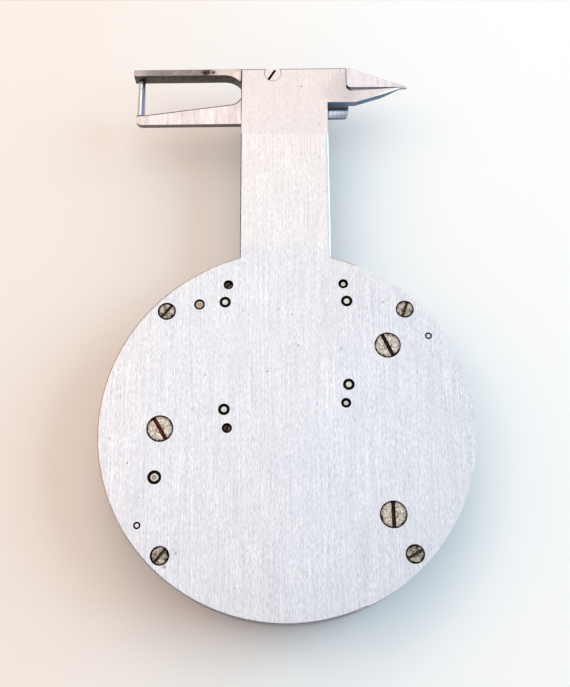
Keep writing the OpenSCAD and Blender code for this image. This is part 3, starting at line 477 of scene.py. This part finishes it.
# The finish of each node that is carried over or dressed below
NODE_FINISH = {
    plate_face: ["back_plate", "gib_screw"],
    case_finish: ["case_body", "bezel"],
    jaw_finish: ["jaw_slide", "fixed_arm", "thumb_tab", "left_rail", "right_rail"],
    post_painted_blue_reflection: ["measuring_post", "post_tip"],
    screw_finish: ["corner_screws", "movement_screws", "rail_screws", "arm_screws", "tab_screws", "rack_screws",
                   "dial_screws"],
    pin_finish: ["steady_pins", "rail_dowels", "rail_pin", "anchor_pin", "spring_post", "drive_arbor",
                 "rack_pinion", "centre_arbor", "centre_pinion", "pointer_hub"],
    spring_finish: ["return_spring"],
    blued_finish: ["hairspring"],
    brass_finish: ["rack", "movement_plate", "pillars", "centre_bridge", "drive_bridge", "drive_gear",
                   "hairspring_collet", "hairspring_stud"],
    bronze_finish: ["arbor_bushes"],
    enamel: ["dial"],
    lacquer: ["pointer"],
    rubber: ["crystal_gasket"],
    glass: ["crystal"],
}
for finish, names in NODE_FINISH.items():
    for name in names:
        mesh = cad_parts[name].data
        mesh.materials.clear()
        mesh.materials.append(finish)


# ---------- back plate ----------

def plate_outline():
    """The plate's outline, counter-clockwise from the right of the neck's foot."""
    cx = NECK_HALF + NECK_FILLET
    cy = math.sqrt((CASE_R + NECK_FILLET) ** 2 - cx ** 2)
    touch = math.degrees(math.atan2(cy, cx))
    rim = arc(0, 0, CASE_R, 180 - touch, 360 + touch, 300)
    right = arc(cx, cy, NECK_FILLET, 180 + touch, 180, 8)
    left = [(-x, y) for x, y in reversed(right)]
    head = [(NECK_HALF, LUG_BOTTOM), JAW_UNDER, JAW_BEND, JAW_WAIST, (TIP[0], TIP[1] - 0.1), TIP]
    lug = arc(JAW_ROOT[0], JAW_ROOT[1] + LUG_FILLET, LUG_FILLET, 266, 180, 8) \
        + [(LUG_X, NECK_TOP), (-NECK_HALF, NECK_TOP)]
    rise = [(NECK_HALF, y) for y in NECK_STEPS]
    return rim[1:-1] + right + rise + head + lug + [(-x, y) for x, y in reversed(rise)] + left


# The plate's faces
FACE, WALL, BORE, LUG_WALL, POLISH_HIGHLIGHT, SHADE_LINE = range(6)
# What delaunay_2d_cdt gives back: the triangles inside the borders
INSIDE_BORDERS = 1


def plate_with_holes(outline, rows, holes):
    """A plate in one closed mesh. rows are (inset function, z) from the top edge down, and each hole is
    (x, y, steps, rings), with rings of (radius, z) from the top face down to the bottom one."""
    bm = bmesh.new()
    wall = [[bm.verts.new((x, y, z)) for x, y in inset(outline, edge)] for edge, z in rows]
    loops = {0: [wall[0]], 1: [wall[-1]]}
    for x, y, steps, rings in holes:
        bore = [[bm.verts.new((px, py, z)) for px, py in circle(x, y, r, steps)] for r, z in rings]
        loops[0].append(bore[0])
        loops[1].append(bore[-1])
        for a, b in zip(bore, bore[1:]):
            for i in range(steps):
                j = (i + 1) % steps
                bm.faces.new((a[i], a[j], b[j], b[i])).material_index = BORE
    for a, b in zip(wall, wall[1:]):
        for i in range(len(a)):
            j = (i + 1) % len(a)
            bm.faces.new((a[j], a[i], b[i], b[j])).material_index = WALL
    for side in (0, 1):
        flat = [v for loop in loops[side] for v in loop]
        borders, owner = [], []
        for k, loop in enumerate(loops[side]):
            borders += [(len(owner) + i, len(owner) + (i + 1) % len(loop)) for i in range(len(loop))]
            owner += [k] * len(loop)
        filled = delaunay_2d_cdt([v.co.xy for v in flat], borders, [], INSIDE_BORDERS, 1e-6)
        for triangle in filled[2]:
            corners = [filled[3][i][0] for i in triangle]
            owners = {owner[i] for i in corners}
            over_a_hole = len(owners) == 1 and owners != {0}
            if not over_a_hole:
                bm.faces.new([flat[i] for i in corners])
    bmesh.ops.recalc_face_normals(bm, faces=bm.faces)
    return bm


# Share of the full rounding along parts of the plate's edge, and how fast it falls off below the disc's middle
SLIM_JAW, TOP_EDGE, LAST_PASS, NECK_LEFT, DISC_FOOT = 0.025, 0.3, 0.1, 0.4, 0.35
LAST_PASS_Y = 57.4
FALL_FROM_Y, FALL_PER_MM = -5, 0.043


def edge_at(width):
    """The rounding's inset: wide round the disc and up the right of the neck, as far as the last pass of the belt,
    tighter towards the foot of the disc and above that pass, and next to nothing on the slim jaw."""
    def inset_at(x, y):
        if x > JAW_ROOT[0]:
            return width * SLIM_JAW
        if y > LAST_PASS_Y:
            return width * (TOP_EDGE if y > NECK_TOP - 0.1 else LAST_PASS)
        if y < FALL_FROM_Y:
            return width * max(DISC_FOOT, 1 + (y - FALL_FROM_Y) * FALL_PER_MM)
        return width if y < 30 or x > 0 else width * NECK_LEFT
    return inset_at


# Width and depth of the broken edge round a hole
HOLE_EDGE, HOLE_EDGE_DEPTH = 0.05, 0.06


def counterbore(x, y, wide, depth, narrow, steps=48):
    """A hole with a broken edge, a wall and a floor, and a clearance hole of the narrow diameter through it."""
    return (x, y, steps, [(wide / 2 + HOLE_EDGE, Z_TOP), (wide / 2, Z_TOP - HOLE_EDGE_DEPTH),
                          (wide / 2, Z_TOP - depth), (narrow / 2, Z_TOP - depth), (narrow / 2, Z_PLATE)])


def above_bevel(start, end, tilt):
    """Everything above a plane that slopes down on the right of the line between two points."""
    turn = math.atan2(end[1] - start[1], end[0] - start[0])
    place = Matrix.Translation((start[0], start[1], Z_TOP)) @ Matrix.Rotation(turn, 4, "Z") \
        @ Matrix.Rotation(math.radians(tilt), 4, "X")
    return box_bm((-4, -8, 0), (14, 0, 5), place)


holes = [counterbore(x, y, 3.2, 0.75, 1.9) for x, y, _ in CORNER_SCREWS]
holes += [counterbore(x, y, 4.65, 0.85, 2.3, 64) for x, y, _ in MOVEMENT_SCREWS]
holes += [counterbore(x, y, 1.7, 0.9, 1.1, 32) for x, y, _ in RAIL_SCREWS]
holes += [counterbore(x, y, 2.0, 0.35, 1.24, 32) for x, y in RAIL_DOWELS]
holes += [counterbore(*SPRING_POST, 2.35, 0.35, 1.5, 32)]
holes += [(x, y, 32, [(0.64, Z_TOP), (0.62, Z_TOP - 0.03), (0.62, Z_PLATE)]) for x, y in STEADY_PINS]
holes += [(*RAIL_PIN, 32, [(1.0, Z_TOP), (0.97, Z_TOP - 0.03), (0.97, Z_PLATE)])]
# The rounding, as (inset, depth) down to its foot
EDGE = [(0.7, 0), (0.42, 0.012), (0.22, 0.035), (0.09, 0.07), (0.02, 0.12), (0, 0.17)]
rows = [(edge_at(width), Z_TOP - depth) for width, depth in EDGE] + [(edge_at(0), Z_PLATE)]
plate = plate_with_holes(plate_outline(), rows, holes)
front_bevel = above_bevel((14.0, 64.46), (22.7, 67.37), 10)
rear_bevel = prism_bm([(18.6, Z_PLATE - 1), (18.6, Z_PLATE), (22.2, Z_TOP - 0.52), (TIP[0] + 1, Z_TOP - 0.22),
                       (TIP[0] + 1, Z_PLATE - 1)], 60, 70, lambda u, v, w: (u, w, v))
gib_bore = lathe_bm(*GIB_SCREW[:2], [(0, Z_TOP + 1), (1.67, Z_TOP + 1), (1.67, Z_TOP - 0.7), (0.82, Z_TOP - 0.7),
                                     (0.82, Z_PLATE - 1), (0, Z_PLATE - 1)])
plate = cut_away(plate, [front_bevel, rear_bevel, gib_bore])
bmesh.ops.dissolve_degenerate(plate, dist=0.0005, edges=plate.edges)
plate.normal_update()
for face in plate.faces:
    middle, normal = face.calc_center_median(), face.normal
    by_the_lug = middle.y > 60
    on_the_rounding = face.material_index == WALL and middle.z > Z_TOP - 0.2
    if middle.x > JAW_ROOT[0] + 0.3 and middle.y < TIP[1] + 0.045 and 0.3 < normal.z < 0.995:
        face.material_index = POLISH_HIGHLIGHT
    elif middle.x > 8 and by_the_lug and normal.y < -0.5:
        face.material_index = LUG_WALL
    elif middle.x > LUG_X and by_the_lug and middle.z < Z_TOP - 0.17 and normal.y > 0.5:
        face.material_index = FACE
    # The rounding down the left of the neck, above the disc, takes the painted shade line
    elif on_the_rounding and middle.y > CASE_R and middle.x < 0.17 - NECK_HALF:
        face.material_index = SHADE_LINE
    # Steeper faces of the rounding: a painted highlight where they face +X away from the lug, a painted shade line
    # where they face +Y, and the painted dark side colour elsewhere
    elif on_the_rounding and (normal.z < 0.85 or middle.y > NECK_TOP - 0.25):
        if normal.x > 0.3 and not by_the_lug:
            face.material_index = POLISH_HIGHLIGHT
        else:
            face.material_index = SHADE_LINE if normal.y > 0.02 else WALL
    elif on_the_rounding:
        face.material_index = FACE
piece("ground_back_plate", plate, [plate_face, plate_side_painted_shade, bore_dirt, lug_wall_painted_blue, polish_and_painted_highlight, painted_shade_edge],
      replaces=["back_plate"])


# ---------- screws and pins that show ----------

# A head's faces
HEAD, RIM, SLOT, RUSTY_SLOT = range(4)
# Share of a head's height that its slot is sawn into
SLOT_SHARE = 0.6


def rounded_rim(r, top, edge):
    """The profile over a rounded edge, from the top face out and down."""
    turns = [math.radians(a) for a in (0, 30, 60, 90)]
    return [(r - edge * (1 - math.sin(a)), top - edge * (1 - math.cos(a))) for a in turns]


def map_heads(bm, heads):
    """A UV map over each head that has its centre at 0, 0 and its rim at a length of 1."""
    uv = bm.loops.layers.uv.new("head")
    for face in bm.faces:
        middle = face.calc_center_median()
        x, y, r = min(heads, key=lambda h: (middle.x - h[0]) ** 2 + (middle.y - h[1]) ** 2)
        for loop in face.loops:
            loop[uv].uv = ((loop.vert.co.x - x) / r, (loop.vert.co.y - y) / r)
    return bm


def screw_head(x, y, turn, width, height, top, shank, shank_z, slot, edge, rust=False):
    """A turned screw with a rounded rim and a sawn slot. The rim's finish goes on down the shank."""
    r = width / 2
    slot_floor = top - height * SLOT_SHARE
    profile = [(0, top), *rounded_rim(r, top, edge), (r, top - height), (shank / 2, top - height),
               (shank / 2, shank_z), (0, shank_z)]
    place = Matrix.Translation((x, y, 0)) @ Matrix.Rotation(math.radians(turn), 4, "Z")
    cut = box_bm((-width, -slot / 2, slot_floor), (width, slot / 2, top + 1), place)
    whole = cut_away(lathe_bm(x, y, profile, 64), [cut])
    for face in whole.faces:
        middle = face.calc_center_median()
        across = abs((middle.y - y) * math.cos(math.radians(turn)) - (middle.x - x) * math.sin(math.radians(turn)))
        if across < slot / 2 + 0.001 and middle.z > slot_floor - 0.001:
            face.material_index = RUSTY_SLOT if rust else SLOT
        elif middle.z < top - edge * 0.8:
            face.material_index = RIM
    return whole


corner = [screw_head(*at, width=3.0, height=0.68, top=Z_TOP - 0.06, shank=1.8, shank_z=Z_PLATE - 3.5, slot=0.52,
                     edge=0.12) for at in CORNER_SCREWS]
piece("corner_screw_heads", map_heads(join_bm(corner), [(x, y, 1.5) for x, y, _ in CORNER_SCREWS]),
      [corner_screw_finish, bore_dirt, corner_slot], replaces=["corner_screws"])
large = [screw_head(*at, width=4.4, height=0.78, top=Z_TOP - 0.06, shank=2.2, shank_z=Z_PLATE - 1, slot=0.7,
                    edge=0.1, rust=at[0] < 0) for at in MOVEMENT_SCREWS]
piece("movement_screw_heads", map_heads(join_bm(large), [(x, y, 2.2) for x, y, _ in MOVEMENT_SCREWS]),
      [screw_finish, bore_dirt, slot_finish, rusty_slot], replaces=["movement_screws"])

# The rails' screws sit deep in their holes. The right pair have a turned cone with a small bright land.
SUNK, FOOT = Z_TOP - 0.38, 10.0
LAND = 3
CONE = [(0, SUNK + 0.2), (0.36, SUNK + 0.2), (0.42, SUNK + 0.17), (0.79, SUNK - 0.2), (0.79, SUNK - 0.5),
        (0.5, SUNK - 0.5), (0.5, FOOT), (0, FOOT)]
sunken = []
for x, y, turn in RAIL_SCREWS:
    if x < 0:
        sunken.append(screw_head(x, y, turn, width=1.58, height=0.5, top=SUNK, shank=1.0, shank_z=FOOT, slot=0.3,
                                 edge=0.3))
    else:
        sunken.append(lathe_bm(x, y, CONE, 48, [LAND, LAND] + 5 * [RIM]))
piece("rail_screw_heads", map_heads(join_bm(sunken), [(x, y, 0.79) for x, y, _ in RAIL_SCREWS]),
      [oiled_screw, bore_dirt, slot_finish, land_finish], replaces=["rail_screws"])


def pin_end(x, y, r, top, low, edge, foot=()):
    """A pin with a filed end, rounded at its rim, and a foot of (radius, z) pairs if it isn't straight."""
    profile = [(0, top), *rounded_rim(r, top, edge), *(foot or [(r, low)]), (0, low)]
    return lathe_bm(x, y, profile, 48, [HEAD] + [RIM] * (len(profile) - 2))


RAIL_FOOT = 9.7
piece("rail_dowel_ends", join_bm([pin_end(*at, r=0.6, top=Z_TOP - 0.03, low=RAIL_FOOT, edge=0.1)
                                  for at in RAIL_DOWELS]),
      [pin_finish, bore_dirt], replaces=["rail_dowels"])
piece("steady_pin_ends", join_bm([pin_end(*at, r=0.6, top=Z_TOP - 0.03, low=Z_PLATE - 2, edge=0.26)
                                  for at in STEADY_PINS]),
      [steady_finish, bore_dirt], replaces=["steady_pins"])
piece("rail_pin_end", pin_end(*RAIL_PIN, r=0.78, top=Z_TOP - 0.1, low=RAIL_FOOT, edge=0.12,
                              foot=[(0.78, Z_PLATE), (0.6, Z_PLATE), (0.6, RAIL_FOOT)]),
      [worn_pin_finish, bore_dirt], replaces=["rail_pin"])
# The spring's post is riveted over: a brown core, a groove round it and a paler collar
RIVET, SPRING_FOOT = Z_TOP - 0.05, Z_SPRING - 0.8
CORE, COLLAR, DARK = range(3)
piece("riveted_spring_post", lathe_bm(*SPRING_POST, [
    (0, RIVET), (0.34, RIVET), (0.36, RIVET - 0.04), (0.4, RIVET), (0.62, RIVET), (0.7, RIVET - 0.05),
    (0.7, Z_PLATE), (0.8, Z_PLATE), (0.8, SPRING_FOOT), (0, SPRING_FOOT)],
    48, [CORE, DARK, DARK, COLLAR, COLLAR] + 4 * [DARK]),
      [worn_pin_finish, pin_finish, bore_dirt], replaces=["spring_post"])

# The gib screw's head is filed flush with the neck's top edge
gib = screw_head(*GIB_SCREW, width=3.2, height=0.68, top=Z_TOP - 0.005, shank=1.56, shank_z=Z_PLATE + 0.02,
                 slot=0.5, edge=0.06)
gib = cut_away(gib, [box_bm((-6, NECK_TOP - 0.09, Z_PLATE - 1), (6, NECK_TOP + 4, Z_TOP + 1))])
piece("gib_screw_head", map_heads(gib, [(*GIB_SCREW[:2], 1.6)]), [plate_face, bore_dirt, bore_dirt],
      replaces=["gib_screw"])


# ---------- jaws and thumb tab, from their solids with their edges broken ----------

# The tab's crown: where it starts, how fast it drops, and the lines that its top bends along
CROWN_Y, CROWN_DROP = 64.9, 0.1
CROWN_LINES = [62.6 + 0.28 * i for i in range(9)]


def crown(bm):
    """Rounds the thumb tab's top down towards its lower end, so that it takes the light from above."""
    for y in CROWN_LINES:
        bmesh.ops.bisect_plane(bm, geom=bm.verts[:] + bm.edges[:] + bm.faces[:], plane_no=(0, 1, 0),
                               plane_co=(0, y, 0))
    for vert in bm.verts:
        if vert.co.z > Z_ARM - 0.1 and vert.co.y < CROWN_Y:
            vert.co.z -= CROWN_DROP * (CROWN_Y - vert.co.y) ** 2


def broken_edges(node, edge, strip=0.0, strip_material=0, shape=None):
    """A node's own solid in millimetres, its triangles merged into flat faces and its sharp edges rounded. strip is
    the width of a border in a material of its own, on the top faces left of the neck, along walls that face +Y.
    shape is a function that forms the mesh before its edges are rounded."""
    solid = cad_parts[node]
    bm = bmesh.new()
    bm.from_mesh(solid.data)
    bmesh.ops.transform(bm, matrix=Matrix.Scale(1 / MM, 4) @ solid.matrix_world, verts=bm.verts)
    bmesh.ops.remove_doubles(bm, verts=bm.verts, dist=0.002)
    bmesh.ops.dissolve_limit(bm, angle_limit=math.radians(0.5), verts=bm.verts, edges=bm.edges)
    if strip:
        bm.normal_update()
        level = [f for f in bm.faces if f.normal.z > 0.999 and f.calc_center_median().x < 0]
        for face in bmesh.ops.inset_region(bm, faces=level, thickness=strip, use_even_offset=True)["faces"]:
            walls = [f for e in face.edges for f in e.link_faces if abs(f.normal.z) < 0.3]
            if any(f.normal.y > 0.2 for f in walls):
                face.material_index = strip_material
    if shape:
        shape(bm)
        bm.normal_update()
    sharp = [e for e in bm.edges if len(e.link_faces) == 2 and e.calc_face_angle(0) > SMOOTH_ANGLE]
    bmesh.ops.bevel(bm, geom=sharp, offset=edge, segments=2, profile=0.5, affect="EDGES", clamp_overlap=True)
    bm.normal_update()
    return bm


# The slide's faces: the pointed jaw on the right, the flat arm on the left, its walls, a strip of painted shade
# along its top edge where it faces +Y, edges that hands polish and that carry a painted highlight, the jaw's other
# walls, and the sunken plate that runs under the neck
JAW, ARM, ARM_WALL, SHADE_STRIP, POLISH_HIGHLIGHT_EDGE, JAW_WALL, SUNKEN = range(7)
JAW_BREAK = 0.08
slide = broken_edges("jaw_slide", JAW_BREAK, 0.22, SHADE_STRIP)
for face in slide.faces:
    middle, normal = face.calc_center_median(), face.normal
    on_the_right = middle.x > 0
    if middle.x > LUG_X and normal.y < -0.5:
        face.material_index = JAW
    elif abs(normal.z) < 0.3:
        face.material_index = JAW_WALL if on_the_right else ARM_WALL
    elif 0.3 < normal.z < 0.97 and on_the_right and normal.y < 0.5:
        face.material_index = POLISH_HIGHLIGHT_EDGE
    elif middle.z < Z_PLATE + 0.1 and -NECK_HALF - 0.6 < middle.x < LUG_X + 0.6:
        face.material_index = SUNKEN
    elif face.material_index != SHADE_STRIP:
        face.material_index = ARM if middle.x < 0 else JAW
piece("ground_jaw_slide", slide, [jaw_finish, arm_finish, wall_finish, painted_shade_edge, polish_and_painted_highlight, arm_wall_finish,
                                  lapped_slide_finish],
      body="slide", replaces=["jaw_slide"])
# The fixed arm's faces, with a strip of painted shade along its top edge where it faces +Y
TOP, SIDE, SHADE_BORDER = range(3)
arm = broken_edges("fixed_arm", JAW_BREAK, 0.2, SHADE_BORDER)
for face in arm.faces:
    if abs(face.normal.z) < 0.3:
        face.material_index = SIDE
    elif face.material_index != SHADE_BORDER:
        face.material_index = TOP
piece("ground_fixed_arm", arm, [lower_arm_finish, arm_wall_finish, painted_shade_edge],
      replaces=["fixed_arm"])
tab = broken_edges("thumb_tab", 0.2, shape=crown)
for face in tab.faces:
    # Its faces towards -Y take the lug walls' painted blue reflection
    face.material_index = 1 if face.normal.y < -0.8 else 0
piece("rounded_thumb_tab", tab, [tab_painted_blue_reflection, lug_wall_painted_blue], body="slide",
      replaces=["thumb_tab"])


def standing_rod(profile):
    """A turned rod that stands along +Y on the fixed arm, with a painted highlight on its outer side. profile is
    (radius, y).
    """
    rod = lathe_bm(0, 0, profile, 64)
    place = Matrix.Translation((POST_X, 0, (Z_ARM + Z_PLATE) / 2)) @ Matrix.Rotation(math.radians(-90), 4, "X")
    bmesh.ops.transform(rod, matrix=place, verts=rod.verts)
    rod.normal_update()
    for face in rod.faces:
        face.material_index = 1 if face.normal.x < 0.2 else 0
    return rod


# The post tapers a little, and a groove parts it from its hardened tip
piece("turned_measuring_post", standing_rod([
    (0, 61.3), (0.35, 61.3), (0.35, 62.55), (0.8, 62.55), (0.74, 68.33), (0.66, 68.45), (0.33, 68.45),
    (0.33, 67.45), (0, 67.45)]), [post_painted_blue_reflection, post_painted_highlight], replaces=["measuring_post"])
piece("turned_post_tip", standing_rod([
    (0, 67.55), (0.3, 67.55), (0.3, 68.47), (0.64, 68.47), (0.72, 68.57), (0.72, 70.1), (0.55, 70.3), (0, 70.3)]),
      [post_painted_blue_reflection, post_painted_highlight], replaces=["post_tip"])


# ---------- dial: graduations and figures ----------

# How far the jaws open in one turn of the pointer
TURN_MM = 5.0
# How far the ink stands out of the dial: the graduations' outer face, a figure's middle and half its thickness
TICK_LIFT, FIGURE_LIFT, FIGURE_HALF = 0.015, 0.008, 0.006
# Graduations of 0.05 mm, as (steps apart, inner radius, width), the boldest first. All end at one radius.
STEPS = 100
TICKS = [(20, 24.4, 0.3), (10, 25.2, 0.2), (2, 26, 0.12), (1, 26.5, 0.12)]
TICK_END = 27.4


def dial_angle(value):
    """Where a reading in millimetres stands, measured from +X; the readings run clockwise for the reader."""
    return math.radians(90 + 360 * value / TURN_MM)


ticks = []
for step in range(STEPS):
    inner, width = next((r, w) for apart, r, w in TICKS if step % apart == 0)
    place = Matrix.Rotation(dial_angle(step * TURN_MM / STEPS), 4, "Z")
    ticks.append(box_bm((inner, -width / 2, Z_DIAL - TICK_LIFT), (TICK_END, width / 2, Z_DIAL), place))
piece("dial_graduations", join_bm(ticks), [ink])


def figure(text, value, radius, height, finish, name):
    """A numeral printed on the dial, upright for someone who reads it with the neck up. Its corners are welded, and
    triangles without area are merged with their neighbours."""
    curve = bpy.data.curves.new(name, "FONT")
    curve.body = text
    curve.align_x = curve.align_y = "CENTER"
    curve.size = height
    curve.extrude = FIGURE_HALF
    holder = bpy.data.objects.new(name, curve)
    bpy.context.scene.collection.objects.link(holder)
    mesh = bpy.data.meshes.new_from_object(holder.evaluated_get(bpy.context.evaluated_depsgraph_get()))
    bpy.data.objects.remove(holder)
    bm = bmesh.new()
    bm.from_mesh(mesh)
    bpy.data.meshes.remove(mesh)
    bmesh.ops.remove_doubles(bm, verts=bm.verts, dist=0.0002)
    empty = [max(f.edges, key=lambda e: e.calc_length()) for f in bm.faces if f.calc_area() < 1e-6]
    bmesh.ops.dissolve_edges(bm, edges=empty)
    turn = dial_angle(value)
    place = Matrix.Translation((radius * math.cos(turn), radius * math.sin(turn), Z_DIAL - FIGURE_LIFT))
    bmesh.ops.transform(bm, matrix=place @ Matrix.Rotation(math.pi, 4, "Y"), verts=bm.verts)
    piece(name, bm, [finish])


for number in range(5):
    figure(str(number), number, 22.2, 3.4, ink, f"first_turn_figure_{number}")
    figure(str(number + 5), number, 17.6, 2.5, red_ink, f"second_turn_figure_{number + 5}")
for number in range(3):
    figure(str(number + 10), number, 13.6, 2.0, ink, f"third_turn_figure_{number + 10}")


# ---------- floor, lights and camera ----------

FLOOR_REACH = 2.5
floor_bm = bmesh.new()
bmesh.ops.create_grid(floor_bm, x_segments=1, y_segments=1, size=FLOOR_REACH)
floor_mesh = bpy.data.meshes.new("pale_floor")
floor_bm.to_mesh(floor_mesh)
floor_bm.free()
floor = bpy.data.objects.new("pale_floor", floor_mesh)
bpy.context.scene.collection.objects.link(floor)
# Matt card, tinted a little warmer on the left of the gauge: painted warm light, as from the warm lamp on that
# side. The tint fades between these two x, in metres.
WARM_X, NEUTRAL_X = -0.055, 0.025
floor_finish = blank_material("pale_matt_card", 0.9, metallic=0.0)
floor_tree = floor_finish.node_tree
across = add(floor_tree, "ShaderNodeTexCoord", out="Object")
side = add(floor_tree, "ShaderNodeSeparateXYZ", {"Vector": across}, out="X")
painted_warm_light = add(floor_tree, "ShaderNodeMapRange", {"Value": side, "From Min": WARM_X, "From Max": NEUTRAL_X},
             out="Result", interpolation_type="SMOOTHSTEP")
card = add(floor_tree, "ShaderNodeMix", {"Factor": painted_warm_light, "A": srgb("#f7efe9"), "B": srgb("#f9f9f9")},
           out="Result", data_type="RGBA")
floor_tree.links.new(card, shader_of(floor_finish).inputs["Base Color"])
floor_mesh.materials.append(floor_finish)

LAMP_AIM = Vector((0, 0.02, 0))


def soft_lamp(name, at, size, watts, tint):
    """A square soft box that faces the gauge."""
    lamp = bpy.data.lights.new(name, "AREA")
    lamp.size = size
    lamp.energy = watts
    lamp.color = srgb(tint)[:3]
    obj = bpy.data.objects.new(name, lamp)
    obj.location = at
    obj.rotation_mode = "QUATERNION"
    obj.rotation_quaternion = (LAMP_AIM - Vector(at)).to_track_quat("-Z", "Y")
    bpy.context.scene.collection.objects.link(obj)


soft_lamp("ceiling_soft_box", (-0.1, 0.2, 0.7), 0.7, 1.62, "#f6fffc")
soft_lamp("back_soft_box", (0, 0.8, 0.5), 0.6, 1.65, "#ffd2a0")
soft_lamp("left_warm_lamp", (-0.5, 0.15, 0.55), 0.5, 0.97, "#ffbe89")
soft_lamp("right_cool_lamp", (0.75, 0.15, 0.45), 0.7, 5.79, "#b7e8ff")

world = bpy.data.worlds.new("studio_room")
bpy.context.scene.world = world
world.use_nodes = True
sky = next(n for n in world.node_tree.nodes if n.type == "BACKGROUND")
sky.inputs["Color"].default_value = srgb("#fff3f0")
sky.inputs["Strength"].default_value = 0.455

# The camera stands over the foot of the case and looks up the neck
camera = bpy.data.objects.new("camera", bpy.data.cameras.new("camera"))
camera.data.sensor_width = 36
camera.data.lens = 53.787
camera.data.clip_start, camera.data.clip_end = 0.01, 10
camera.location = (1.454 * MM, -39.451 * MM, 188.027 * MM)
camera.rotation_euler = [math.radians(a) for a in (17.4092, 0.639, -0.3477)]
bpy.context.scene.collection.objects.link(camera)
bpy.context.scene.camera = camera
bpy.context.scene.view_settings.view_transform = "Standard"
